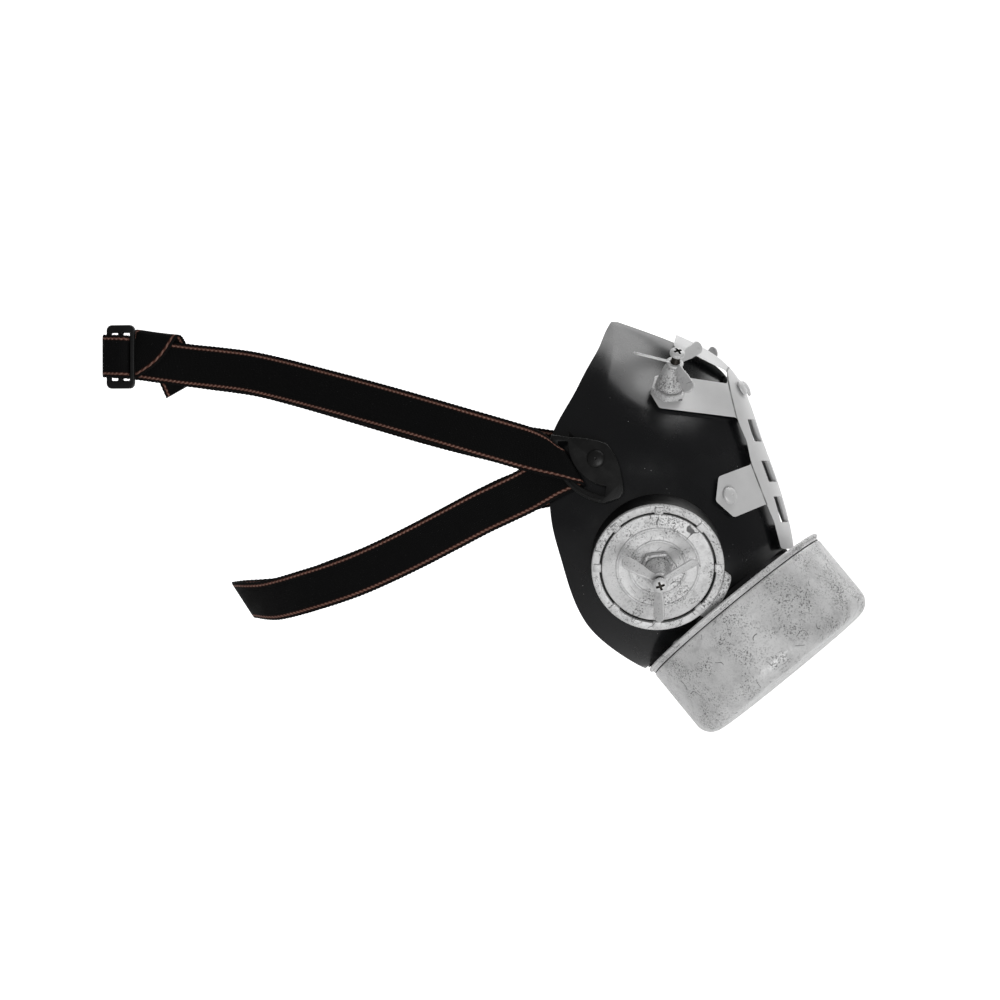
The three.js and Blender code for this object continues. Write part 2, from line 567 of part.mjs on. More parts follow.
const LOWER_RIGHT = [
  { along: 0.137, rise: 0.178, out: 0.97, turn: -24 }, { along: 0.26, rise: 0.331, out: 0.935, turn: -27 },
  { along: 0.443, rise: 0.577, out: 0.83, turn: -26 }, { along: 0.627, rise: 0.794, out: 0.68, turn: -24 },
  { along: 0.78, rise: 0.923, out: 0.51, turn: -22 }, { along: 0.902, rise: 1, out: 0.3, turn: -27 },
  { along: 0.982, rise: 1, out: 0.09, turn: -33 }, { along: 1, rise: 1, out: -0.05, turn: -34 },
];
const LOWER_LEFT = [
  { along: 0.975, rise: 0.99, out: -0.22, turn: -33 }, { along: 0.884, rise: 0.975, out: -0.4, turn: -27 },
  { along: 0.78, rise: 0.871, out: -0.54, turn: -22 }, { along: 0.627, rise: 0.7, out: -0.7, turn: -24 },
  { along: 0.443, rise: 0.437, out: -0.83, turn: -26 },
  { along: 0.26, rise: 0.188, out: -0.935, turn: -26 },
  { along: 0.137, rise: 0.12, out: -0.97, turn: -26 },
];
const UPPER_LEFT = [
  { along: 0.102, rise: 0.15, out: -1.04, turn: 8 }, { along: 0.193, rise: 0.21, out: -1, turn: 14 },
  { along: 0.376, rise: 0.405, out: -0.81, turn: 16 }, { along: 0.558, rise: 0.641, out: -0.52, turn: 16 },
  { along: 0.718, rise: 0.836, out: -0.22, turn: 11 }, { along: 0.809, rise: 0.894, out: -0.06, turn: 8 },
];
const FREE_END = [
  { x: 24, y: -3, z: -7.6, turn: 6 }, { x: 10, y: -1, z: -7.4, turn: 3 }, { x: 0, y: 0, z: -7, turn: 0 },
  { x: -6, y: 0.3, z: -6, turn: 0 }, { x: -8.3, y: 0.5, z: -3.6, turn: 0 },
  { x: -8.6, y: 0.5, z: -0.6, turn: 0 },
  { x: -7.6, y: 0.5, z: 1.7, turn: 0 }, { x: -5.7, y: 0.4, z: 2.5, turn: 0 },
  { x: -3, y: 0.3, z: 3.3, turn: 0 },
  { x: 0, y: 0.2, z: 3.9, turn: 0 }, { x: 2.4, y: 0.1, z: 3.3, turn: 0 },
  { x: 3.45, y: 0, z: 1.8, turn: 0 },
  { x: 3.55, y: 0, z: 0, turn: 0 }, { x: 3.6, y: 0, z: -1.2, turn: 0 }, { x: 4.4, y: 0, z: -2.3, turn: -2 },
  { x: 6.4, y: 0.3, z: -2.5, turn: -2 }, { x: 8.4, y: 2, z: -2.5, turn: -12 },
  { x: 12, y: 5.5, z: -2.4, turn: -42 },
  { x: 15, y: 9, z: -2.5, turn: -70 }, { x: 16.6, y: 10.8, z: -4, turn: -82 },
  { x: 17.6, y: 9, z: -5.5, turn: -95 },
  { x: 20.5, y: 3, z: -5.6, turn: -112 }, { x: 25, y: -6, z: -5.6, turn: -118 },
  { x: 29, y: -14.5, z: -5.6, turn: -118 },
];

// The middle of the band where it passes the tab's slot, in mask space
const slotMiddle = degrees(SLOT_BAND_AT);
const slotReach = SLOT_RADIUS + STRAP_THICKNESS / 2 + CLEARANCE;
const slotPoint = vector(
  SLOT_CENTRE[0] + slotReach * Math.cos(slotMiddle),
  SLOT_CENTRE[1] + slotReach * Math.sin(slotMiddle),
  0,
);
const tabCrossing = slotPoint.clone().applyMatrix4(tabMatrix);
const sliderCentre = tabCrossing.clone().add(vector(-UPPER_REACH, UPPER_RISE, 0)).setZ(SLIDER_OUT);
const sliderMatrix = new THREE.Matrix4().makeRotationY(degrees(-SLIDER_YAW)).setPosition(sliderCentre);

// A station of the band: its middle, and half its width as a vector
const halfBand = ({ turn }) =>
  vector(Math.sin(degrees(turn)), Math.cos(degrees(turn)), 0).multiplyScalar(STRAP_WIDTH / 2);
function stationIn(matrix, row, origin = vector(0, 0, 0)) {
  const turned = new THREE.Matrix4().extractRotation(matrix);
  return {
    position: vector(row.x, row.y, row.z).add(origin).applyMatrix4(matrix),
    half: halfBand(row).applyMatrix4(turned),
  };
}
const nearSlider = (row) => stationIn(sliderMatrix, row);
const nearTab = (row) => stationIn(tabMatrix, row, slotPoint);
function nearLeftTab(row) {
  const { position, half } = nearTab(row);
  return { position: mirrored(position), half: mirrored(half) };
}
const onLoop = (reach, height) => (row) => {
  const { along, rise, out } = row;
  const position = vector(tabCrossing.x - along * reach, tabCrossing.y + rise * height, out * tabCrossing.z);
  return { position, half: halfBand(row) };
};
const onUpperLoop = onLoop(UPPER_REACH, UPPER_RISE);
const onLowerLoop = onLoop(LOWER_REACH, -LOWER_DROP);
const strapRoute = [
  ...SEWN_END.map(nearSlider),
  ...UPPER_RIGHT.map(onUpperLoop),
  ...THROUGH_TAB.map(nearTab),
  ...LOWER_RIGHT.map(onLowerLoop),
  ...LOWER_LEFT.map(onLowerLoop),
  ...[...THROUGH_TAB].reverse().map(nearLeftTab),
  ...UPPER_LEFT.map(onUpperLoop),
  ...FREE_END.map(nearSlider),
];

function headStrap() {
  const line = new THREE.CatmullRomCurve3(strapRoute.map((s) => s.position), false, "centripetal");
  const steps = (strapRoute.length - 1) * STRAP_STEPS;
  const loops = [];
  for (let i = 0; i <= steps; i++) {
    const place = Math.min(Math.floor(i / STRAP_STEPS), strapRoute.length - 2);
    const across = strapRoute[place].half.clone().lerp(strapRoute[place + 1].half, i / STRAP_STEPS - place);
    across.setLength(STRAP_WIDTH / 2);
    const off = line.getTangent(i / steps).cross(across).setLength(STRAP_THICKNESS / 2);
    const centre = line.getPoint(i / steps);
    loops.push([
      centre.clone().add(across).add(off), centre.clone().add(across).sub(off),
      centre.clone().sub(across).sub(off), centre.clone().sub(across).add(off),
    ]);
  }
  return solid(loft(loops));
}

// Slider: a frame with three upright bars, in its own frame: local z off the strap
function strapSlider() {
  const half = SLIDER_WIDTH / 2;
  const tall = SLIDER_HEIGHT / 2;
  const window = (SLIDER_WIDTH - 3 * SLIDER_BAR) / 2;
  const windowHalf = STRAP_WIDTH / 2 + 3 * CLEARANCE;
  const corners = [[1, 1], [-1, 1], [-1, -1], [1, -1]];
  const outline = corners.flatMap(([x, y], i) => {
    const centre = [x * (half - SLIDER_CORNER), y * (tall - SLIDER_CORNER)];
    return arcPoints(centre, SLIDER_CORNER, 90 * i, 90 * (i + 1), 3);
  });
  let frame = solid(slab(outline, -SLIDER_THICKNESS / 2, SLIDER_THICKNESS / 2));
  for (const side of [-1, 1]) {
    const cut = new THREE.BoxGeometry(window, 2 * windowHalf, 2 * SLIDER_THICKNESS);
    frame = frame.subtract(solid(cut.translate((side * (SLIDER_BAR + window)) / 2, 0, 0)));
  }
  return frame;
}
mask.add(
  piece("head_strap", geometryOf(headStrap()), elastic),
  piece("strap_slider", geometryOf(strapSlider()), blackPlastic, sliderMatrix),
);

// Upright as worn: nose to +X, wearer's left to +Y, with the origin at the middle of the open back
const rearmost = Math.min(...SECTIONS.map((s) => s.rim[0])) * SHELL_DEPTH;
mask.rotation.x = Math.PI / 2;
mask.position.x = -rearmost;
const part = new THREE.Group();
part.add(mask);

export default part;
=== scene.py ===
import math

import bpy
from mathutils import Matrix, Vector


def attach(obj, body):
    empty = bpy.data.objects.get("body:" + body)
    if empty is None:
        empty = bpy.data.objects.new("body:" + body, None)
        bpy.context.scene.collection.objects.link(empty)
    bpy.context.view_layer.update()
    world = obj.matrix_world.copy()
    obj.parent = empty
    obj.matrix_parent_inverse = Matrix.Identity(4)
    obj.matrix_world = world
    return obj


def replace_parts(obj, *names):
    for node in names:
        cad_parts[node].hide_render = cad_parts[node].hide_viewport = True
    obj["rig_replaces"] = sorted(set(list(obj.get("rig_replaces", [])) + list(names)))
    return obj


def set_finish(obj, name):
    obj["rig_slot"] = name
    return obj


# A gas mask style costume mask, dressed for a studio picture: glossy black face shell, grey grille plate,
# worn silver canister and side valves with wing bolts, and a ribbed elastic head strap with a slider.
# Metres throughout: +X out of the nose, +Y to the wearer's left, +Z up the face.

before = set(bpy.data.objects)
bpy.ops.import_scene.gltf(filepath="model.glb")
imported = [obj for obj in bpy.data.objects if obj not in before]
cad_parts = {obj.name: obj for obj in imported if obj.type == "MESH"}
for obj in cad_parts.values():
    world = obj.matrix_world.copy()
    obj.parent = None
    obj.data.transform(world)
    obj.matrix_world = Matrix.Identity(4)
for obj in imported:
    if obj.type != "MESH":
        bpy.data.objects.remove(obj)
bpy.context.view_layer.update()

MM = 0.001
UP = Vector((0, 0, 1))
TO_RIGHT = Vector((0, -1, 0))
TO_FRONT = Vector((1, 0, 0))

# The photograph: 1000 x 1000 pixels, seen from the wearer's right and a little from the front
IMAGE_PIXELS = 1000
PHOTO_SCALE = 0.455 * MM  # of one pixel, at the middle of the mask
PHOTO_YAW = math.radians(10)
CAMERA_DISTANCE = 1.8
MASK_MIDDLE_PIXEL = (649.5, 500)  # where the picture shows the point SEAT_TO_ORIGIN in front of the seat
SEAT_TO_ORIGIN = 38.27 * MM  # from the rearmost rim to the zero of the sections' depths


# Selecting and modelling

def select_nothing():
    bpy.ops.object.select_all(action="DESELECT")


def lone(piece):
    """Makes a piece the only one selected, and active."""
    select_nothing()
    piece.select_set(True)
    bpy.context.view_layer.objects.active = piece
    return piece


def added(name):
    """Names the primitive that was just added, and its mesh."""
    piece = bpy.context.active_object
    piece.name = name
    piece.data.name = name
    return piece


def finish_modifier(piece, kind, **settings):
    """Adds a modifier with these settings and applies it."""
    lone(piece)
    modifier = piece.modifiers.new(kind.title(), kind)
    for key, value in settings.items():
        setattr(modifier, key, value)
    bpy.ops.object.modifier_apply(modifier=modifier.name)
    return piece


def edit_all(piece):
    """Goes into edit mode with all of a piece selected."""
    lone(piece)
    bpy.ops.object.mode_set(mode="EDIT")
    bpy.ops.mesh.select_all(action="SELECT")


def select_faces(piece, wanted):
    """Goes into edit mode with only the faces that wanted(face) picks selected."""
    lone(piece)
    bpy.ops.object.mode_set(mode="EDIT")
    bpy.ops.mesh.select_mode(type="FACE")
    bpy.ops.mesh.select_all(action="DESELECT")
    bpy.ops.object.mode_set(mode="OBJECT")
    for face in piece.data.polygons:
        face.select = bool(wanted(face))
    bpy.ops.object.mode_set(mode="EDIT")


def object_mode():
    bpy.ops.object.mode_set(mode="OBJECT")


def outward(piece):
    """Merges doubles and turns every face outwards."""
    edit_all(piece)
    bpy.ops.mesh.remove_doubles(threshold=0.005 * MM)
    bpy.ops.mesh.normals_make_consistent(inside=False)
    object_mode()
    return piece


def smooth(piece, angle=35):
    lone(piece)
    bpy.ops.object.shade_smooth_by_angle(angle=math.radians(angle))
    return piece


def settle(piece, place):
    """Moves a piece's mesh from its own frame to its place, and leaves the object at the origin."""
    lone(piece)
    piece.matrix_world = place
    bpy.ops.object.transform_apply(location=True, rotation=True, scale=True)
    return piece


def joined(name, pieces):
    """One piece from several."""
    select_nothing()
    for piece in pieces:
        piece.select_set(True)
    bpy.context.view_layer.objects.active = pieces[0]
    bpy.ops.object.join()
    return added(name)


def claim(piece, slot, *nodes):
    """Gives a piece its record slot, its body and the CAD nodes that it stands for."""
    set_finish(piece, slot)
    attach(piece, "root")
    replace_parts(piece, *nodes)
    return piece


def dress(piece, finish, slot, node, angle=35):
    """Smooths a piece, gives it one finish, and claims it."""
    smooth(piece, angle)
    piece.data.materials.clear()
    piece.data.materials.append(finish.material)
    return claim(piece, slot, node)


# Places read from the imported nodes

def facing(node, toward):
    """The direction of a node's largest face of those that look to the side of toward or away from it."""
    faces = [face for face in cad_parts[node].data.polygons if abs(face.normal.dot(toward)) > 0.6]
    largest = max(faces, key=lambda face: face.area)
    axis = largest.normal.normalized()
    return -axis if axis.dot(toward) < 0 else axis


def basis(axis, origin):
    """A matrix with local z along an axis and local y as near as can be up the face."""
    across = UP.cross(axis).normalized()
    up = axis.cross(across)
    turn = Matrix((across, up, axis)).transposed().to_4x4()
    return Matrix.Translation(origin) @ turn


def local_corners(node, place):
    """A node's lowest and highest corner in a local frame."""
    back = place.inverted()
    points = [back @ vertex.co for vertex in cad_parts[node].data.vertices]
    low = Vector(min(p[i] for p in points) for i in range(3))
    high = Vector(max(p[i] for p in points) for i in range(3))
    return low, high


def seat_of(node, toward):
    """The frame of a round node: z along its axis, with 0 at its foot, and its size."""
    axis = facing(node, toward)
    turn = basis(axis, Vector((0, 0, 0)))
    low, high = local_corners(node, turn)
    middle = (low + high) / 2
    origin = turn @ Vector((middle.x, middle.y, low.z))
    return basis(axis, origin), high - low


# Round pieces: a profile of (radius, height) turned about local z

def turned(name, profile, steps=96, closed=False):
    """Spins a profile edge round local z. The ends are on the axis, or the profile closes on itself."""
    select_nothing()
    bpy.ops.mesh.primitive_plane_add(size=1 * MM)
    piece = added(name)
    edit_all(piece)
    bpy.ops.mesh.delete(type="VERT")
    object_mode()
    points = [(radius, 0, height) for radius, height in profile]
    edges = [(i, i + 1) for i in range(len(points) - 1)]
    if closed:
        edges.append((len(points) - 1, 0))
    piece.data.from_pydata(points, edges, [])
    piece.data.update()
    edit_all(piece)
    bpy.ops.mesh.spin(steps=steps, angle=2 * math.pi, center=(0, 0, 0), axis=(0, 0, 1))
    object_mode()
    return outward(piece)


def bow(radius, height, size, start, end, steps=6):
    """Points of a rounded corner: an arc about (radius, height)."""
    turns = [math.radians(start + (end - start) * i / steps) for i in range(steps + 1)]
    return [(radius + size * math.cos(a), height + size * math.sin(a)) for a in turns]


def box(name, low, high):
    """A box between two corners, in the frame where it is modelled."""
    low, high = Vector(low), Vector(high)
    select_nothing()
    bpy.ops.mesh.primitive_cube_add(size=1, location=(low + high) / 2, scale=high - low)
    piece = added(name)
    bpy.ops.object.transform_apply(location=True, rotation=True, scale=True)
    return piece


def cut(piece, cutter, operation="DIFFERENCE"):
    """Cuts, joins or intersects a piece with another, which is used up."""
    finish_modifier(piece, "BOOLEAN", object=cutter, operation=operation, solver="EXACT")
    bpy.data.objects.remove(cutter)
    return piece


def rounded(piece, width, segments=2, angle=35):
    return finish_modifier(piece, "BEVEL", width=width, segments=segments, limit_method="ANGLE",
                           angle_limit=math.radians(angle))


def outline_slab(name, outline, bottom, top):
    """A flat solid from a closed outline of (x, y) points, in its own frame."""
    select_nothing()
    bpy.ops.mesh.primitive_circle_add(vertices=len(outline), radius=1, fill_type="NGON")
    piece = added(name)
    for vertex, (x, y) in zip(piece.data.vertices, outline):
        vertex.co = (x, y, bottom)
    edit_all(piece)
    bpy.ops.mesh.extrude_region_move(TRANSFORM_OT_translate={"value": (0, 0, top - bottom)})
    object_mode()
    return outward(piece)


def arc(centre, radius, start, end, steps):
    turns = [math.radians(start + (end - start) * i / steps) for i in range(steps + 1)]
    return [(centre[0] + radius * math.cos(a), centre[1] + radius * math.sin(a)) for a in turns]


def mirror_of(piece, name):
    """The left piece from the right one, with its own mesh."""
    twin = piece.copy()
    twin.data = piece.data.copy()
    twin.name = name
    twin.data.name = name
    for key in list(twin.keys()):
        del twin[key]
    bpy.context.collection.objects.link(twin)
    twin.data.transform(Matrix.Diagonal((1, -1, 1, 1)))
    twin.data.flip_normals()
    return twin


# Shader maths

class Number:
    """A number socket of a finish. Arithmetic on it adds Math nodes."""

    def __init__(self, finish, socket):
        self.finish = finish
        self.socket = socket

    def math(self, operation, *others):
        values = dict(enumerate((self, *others)))
        return self.finish.node("ShaderNodeMath", {"operation": operation}, values).number()

    def __add__(self, other):
        return self.math("ADD", other)

    __radd__ = __add__

    def __mul__(self, other):
        return self.math("MULTIPLY", other)

    __rmul__ = __mul__

    def __sub__(self, other):
        return self.math("SUBTRACT", other)

    def __rsub__(self, other):
        return (self * -1) + other

    def __lt__(self, other):
        return self.math("LESS_THAN", other)

    def __abs__(self):
        return self.math("ABSOLUTE")

    def step(self, low, high):
        """0 up to low, 1 from high, smooth between; low may be the larger one."""
        values = {"Value": self, "From Min": low, "From Max": high}
        settings = {"interpolation_type": "SMOOTHSTEP"}
        return self.finish.node("ShaderNodeMapRange", settings, values).number("Result")

    def share(self, low, high):
        """0 at low, 1 at high, straight between and level beyond."""
        values = {"Value": self, "From Min": low, "From Max": high}
        return self.finish.node("ShaderNodeMapRange", {}, values).number("Result")


class Node:
    """A node of a finish, with its outputs as numbers or as plain sockets."""

    def __init__(self, finish, node):
        self.finish = finish
        self.node = node

    def number(self, output=0):
        return Number(self.finish, self.node.outputs[output])

    def out(self, output=0):
        return self.node.outputs[output]


class Finish:
    """A procedural material: a Principled shader whose sockets are set or fed by these helpers."""

    def __init__(self, name, constants=()):
        self.material = bpy.data.materials.new(name)
        self.material.use_nodes = True
        self.tree = self.material.node_tree
        self.shader = self.tree.nodes["Principled BSDF"]
        for key, value in dict(constants).items():
            self.shader.inputs[key].default_value = value
        self.place = self.node("ShaderNodeTexCoord", {}, {}).out("Object")

    def node(self, kind, settings, values):
        made = self.tree.nodes.new(kind)
        for key, value in settings.items():
            setattr(made, key, value)
        for key, value in values.items():
            if isinstance(value, Number):
                value = value.socket
            if isinstance(value, bpy.types.NodeSocket):
                self.tree.links.new(value, made.inputs[key])
            else:
                made.inputs[key].default_value = value
        return Node(self, made)

    def feed(self, socket, value):
        if isinstance(value, Number):
            value = value.socket
        self.tree.links.new(value, self.shader.inputs[socket])

    def noise(self, grain, detail=3, rough=0.55, at=None):
        """Noise between about 0.3 and 0.7, with patches of about grain metres."""
        values = {"Vector": at or self.place, "Scale": 1 / grain, "Detail": detail, "Roughness": rough}
        return self.node("ShaderNodeTexNoise", {}, values).number("Fac")

    def cells(self, size):
        """Distance to the nearest of scattered points, as a share of size."""
        values = {"Vector": self.place, "Scale": 1 / size}
        return self.node("ShaderNodeTexVoronoi", {}, values).number("Distance")

    def stretched(self, turn, scale):
        """Object coordinates turned and stretched, for marks that run one way."""
        values = {"Vector": self.place, "Rotation": turn, "Scale": scale}
        return self.node("ShaderNodeMapping", {"vector_type": "TEXTURE"}, values).out()

    def blend(self, mask, low, high):
        """A colour that goes from low to high as the mask goes from 0 to 1."""
        return self.node("ShaderNodeMix", {"data_type": "RGBA"}, {0: mask, 6: low, 7: high}).out(2)

    def bump(self, height, distance, strength=1.0):
        """Feeds a height, in shares of distance metres, to the surface."""
        values = {"Height": height, "Distance": distance, "Strength": strength}
        self.feed("Normal", self.node("ShaderNodeBump", {}, values).out())


def grey(value, tint=(1, 1, 1)):
    return (value * tint[0], value * tint[1], value * tint[2], 1)


# Face shell: the part's own sections, as shares of its height, depth and half width
SHELL_HEIGHT = 158 * MM
SHELL_DEPTH = 104 * MM
SHELL_HALF_WIDTH = 54 * MM
SHELL_WALL = 2.2 * MM
# Height, then (depth, half width) of rim, ridge, cheek and nose, then the front's depth
SECTIONS = [
    (0.513, (-0.163, 0.09), (-0.158, 0.08), (-0.152, 0.06), (-0.146, 0.035), -0.138),
    (0.481, (-0.178, 0.24), (-0.144, 0.21), (-0.077, 0.12), (-0.03, 0.065), 0),
    (0.43, (-0.188, 0.48), (-0.125, 0.43), (0.02, 0.215), (0.135, 0.115), 0.19),
    (0.367, (-0.226, 0.69), (-0.12, 0.64), (0.075, 0.31), (0.288, 0.22), 0.327),
    (0.291, (-0.273, 0.82), (-0.135, 0.8), (0.085, 0.6), (0.355, 0.335), 0.394),
    (0.171, (-0.368, 0.91), (-0.202, 0.945), (0.135, 0.855), (0.404, 0.355), 0.458),
    (0.057, (-0.365, 0.95), (-0.212, 0.98), (0.192, 0.87), (0.462, 0.37), 0.524),
    (-0.063, (-0.356, 0.95), (-0.192, 1), (0.25, 0.87), (0.514, 0.4), 0.577),
    (-0.171, (-0.317, 0.87), (-0.154, 0.92), (0.269, 0.79), (0.538, 0.44), 0.6),
    (-0.272, (-0.279, 0.77), (-0.115, 0.79), (0.269, 0.68), (0.5, 0.44), 0.56),
    (-0.361, (-0.221, 0.62), (-0.077, 0.63), (0.212, 0.55), (0.404, 0.37), 0.46),
    (-0.43, (-0.12, 0.41), (-0.02, 0.415), (0.154, 0.36), (0.288, 0.24), 0.33),
    (-0.475, (-0.03, 0.19), (0.02, 0.19), (0.096, 0.165), (0.163, 0.11), 0.19),
    (-0.487, (0, 0.07), (0.02, 0.07), (0.05, 0.06), (0.085, 0.04), 0.1),
]
ROW_STEPS = 2
COLUMN_STEPS = 24
RIDGE_COLUMN = 3  # of each row's points, the one on the fold between rim band and cheek
RIDGE_CREASE = 0.75
RIDGE_REACH = 0.6  # the share of the rows over which the fold fades out
REARMOST = min(rim[0] for _, rim, *_ in SECTIONS)


def curve_point(points, share):
    """A point of the smooth curve through points, at a share of its length in steps."""
    last = len(points) - 1
    reach = share * last
    i = min(int(reach), last - 1)
    t = reach - i
    p1, p2 = points[i], points[i + 1]
    p0 = points[i - 1] if i > 0 else 2 * p1 - p2
    p3 = points[i + 2] if i + 2 <= last else 2 * p2 - p1
    d0, d1, d2 = (max((b - a).length, 1e-9) ** 0.5 for a, b in ((p0, p1), (p1, p2), (p2, p3)))
    m1 = ((p1 - p0) / d0 - (p2 - p0) / (d0 + d1) + (p2 - p1) / d1) * d1
    m2 = ((p2 - p1) / d1 - (p3 - p1) / (d1 + d2) + (p3 - p2) / d2) * d1
    return (
        p1 + m1 * t + (3 * (p2 - p1) - 2 * m1 - m2) * t * t + (2 * (p1 - p2) + m1 + m2) * t ** 3
    )


def shell_place(depth_share, height_share, width_share):
    """A point from shares, with the wearer's right at -Y and the rearmost rim at the origin's depth."""
    depth = (depth_share - REARMOST) * SHELL_DEPTH
    return Vector((depth, -width_share * SHELL_HALF_WIDTH, height_share * SHELL_HEIGHT))


def shell_rows():
    """Rows of points from the top of the nose to the chin, each from the right rim to the left."""
    heights, *stretches, depths = zip(*SECTIONS)
    lines = [[shell_place(x, v, y) for (x, y), v in zip(stretch, heights)] for stretch in stretches]
    front = [shell_place(x, v, 0) for x, v in zip(depths, heights)]
    count = (len(SECTIONS) - 1) * ROW_STEPS
    rows = []
    for row in range(count + 1):
        right = [curve_point(line, row / count) for line in lines]
        left = [Vector((p.x, -p.y, p.z)) for p in reversed(right)]
        across = [*right, curve_point(front, row / count), *left]
        rows.append([curve_point(across, i / COLUMN_STEPS) for i in range(COLUMN_STEPS + 1)])
    return rows


ROWS = shell_rows()


def grid_piece(name, rows):
    """A sheet through rows of points."""
    select_nothing()
    across, down = len(rows[0]), len(rows)
    bpy.ops.mesh.primitive_grid_add(x_subdivisions=across - 1, y_subdivisions=down - 1, size=1)
    piece = added(name)
    for vertex, point in zip(piece.data.vertices, (p for row in rows for p in row)):
        vertex.co = point
    return piece


def shell_normal(row, column):
    """Outwards at a point of the rows."""
    down = ROWS[min(row + 1, len(ROWS) - 1)][column] - ROWS[max(row - 1, 0)][column]
    left = ROWS[row][min(column + 1, COLUMN_STEPS)] - ROWS[row][max(column - 1, 0)]
    return down.cross(left).normalized()


def shell_offset(distance):
    """The rows moved out by distance(how far the point is from the middle plane)."""
    return [
        [p + shell_normal(i, j) * distance(abs(p.y)) for j, p in enumerate(row)]
        for i, row in enumerate(ROWS)
    ]


def shell_sheet(name, rows):
    """A sheet like the shell's, with its faces turned outwards."""
    sheet = grid_piece(name, rows)
    if sheet.data.polygons[0].normal.dot(shell_normal(0, 0)) < 0:
        sheet.data.flip_normals()
    return sheet


def shell_core(sink):
    """A thick body a little under the shell's outer face, to cut away what sinks into the shell."""
    core = shell_sheet("shell_core", shell_offset(lambda out: -sink))
    return outward(finish_modifier(core, "SOLIDIFY", thickness=30 * MM, offset=-1))


# The canister's own frame: z along its axis, with 0 at the back of the drum
CANISTER_SEAT, BACK_SIZE = seat_of("canister_back", TO_FRONT - UP)
DRUM_SEAT, DRUM_SIZE = seat_of("canister_body", TO_FRONT - UP)
DRUM_RADIUS = DRUM_SIZE.x / 2
NECK_RADIUS = 34 * MM
NECK_LENGTH = 3 * MM
NECK_END = 0.3 * MM  # how far the neck stops short of the canister
SHELL_GAP = 1.3 * MM  # between the moulding's cut edge and the canister
PLATE_GAP = 1.25 * MM
MOUTH_RADIUS = 26 * MM
MOUTH_DEPTH = 6 * NECK_LENGTH  # far enough to open the wall wherever it curves


def cut_plane(piece, place, height):
    """Cuts away what lies beyond a height in a local frame, and closes the cut."""
    edit_all(piece)
    point = place @ Vector((0, 0, height))
    normal = place.to_3x3() @ UP
    bpy.ops.mesh.bisect(plane_co=point, plane_no=normal, clear_outer=True, use_fill=True)
    object_mode()
    return piece


def crease_ridge(sheet):
    """Marks the line between the rim's band and the cheek as a soft fold, sharpest at the top."""
    across = COLUMN_STEPS + 1
    fade_rows = RIDGE_REACH * len(ROWS)
    creases = sheet.data.attributes.new("crease_edge", "FLOAT", "EDGE")
    for edge in sheet.data.edges:
        (row, column), (other_row, other_column) = (divmod(i, across) for i in edge.vertices)
        if column == other_column and column in (RIDGE_COLUMN, COLUMN_STEPS - RIDGE_COLUMN):
            creases.data[edge.index].value = RIDGE_CREASE * max(0, 1 - min(row, other_row) / fade_rows)


def make_shell(finish):
    sheet = shell_sheet("face_shell_moulding", ROWS)
    crease_ridge(sheet)
    finish_modifier(sheet, "SUBSURF", levels=2, render_levels=2)
    cut_plane(sheet, CANISTER_SEAT, -SHELL_GAP)
    finish_modifier(sheet, "SOLIDIFY", thickness=SHELL_WALL, offset=-1, use_quality_normals=True)
    mouth = turned("mouth", [(0, -MOUTH_DEPTH), (MOUTH_RADIUS, -MOUTH_DEPTH),
                             (MOUTH_RADIUS, NECK_LENGTH), (0, NECK_LENGTH)])
    cut(sheet, settle(mouth, CANISTER_SEAT))
    neck = turned(
        "neck",
        [(MOUTH_RADIUS, -NECK_LENGTH), (NECK_RADIUS, -NECK_LENGTH),
         (NECK_RADIUS, -NECK_END), (MOUTH_RADIUS, -NECK_END)],
        closed=True,
    )
    shell = joined("face_shell_moulding", [sheet, settle(neck, CANISTER_SEAT)])
    return dress(shell, finish, "shell_black", "face_shell", 40)


# Grille plate: a bent sheet that stands off the nose and lies on the cheeks
PLATE_THICKNESS = 1.2 * MM
PLATE_STANDOFF = 2.6 * MM
ARM_STANDOFF = 0.6 * MM
PLATE_TURN = (15.2 * MM, 23.75 * MM)  # the standoff falls between these distances from the middle plane
PLATE_OUTLINE = [
    (0.12, 0.56), (0.12, 0.44), (0.224, 0.41), (0.352, 0.367), (0.362, 0.331), (0.21, 0.346),
    (0.122, 0.354), (0.046, 0.305), (0.094, 0.259), (0.405, 0.234), (0.448, 0.165), (0.469, 0.101),
    (0.346, 0.066), (0.339, -0.003), (0.412, -0.049), (0.534, -0.011), (0.566, -0.063),
    (0.596, -0.139), (0.9, -0.139), (0.9, 0.56),
]
FOLD_LINE = [(0.352, 0.367), (0.405, 0.234), (0.469, 0.101), (0.534, -0.011)]  # the strip's edge on the arms
SLOT_ROWS = [(0.167, 0.23), (0.052, 0.112), (-0.063, 0.01)]
SLOT_ENDS = (2.6 * MM, 13.2 * MM)  # from the middle plane
PLATE_CORNER = 1 * MM
SLOT_CORNER = 0.5 * MM


def plate_standoff(out):
    t = min(max((out - PLATE_TURN[0]) / (PLATE_TURN[1] - PLATE_TURN[0]), 0), 1)
    blend = t * t * (3 - 2 * t)
    return PLATE_STANDOFF + (ARM_STANDOFF - PLATE_STANDOFF) * blend


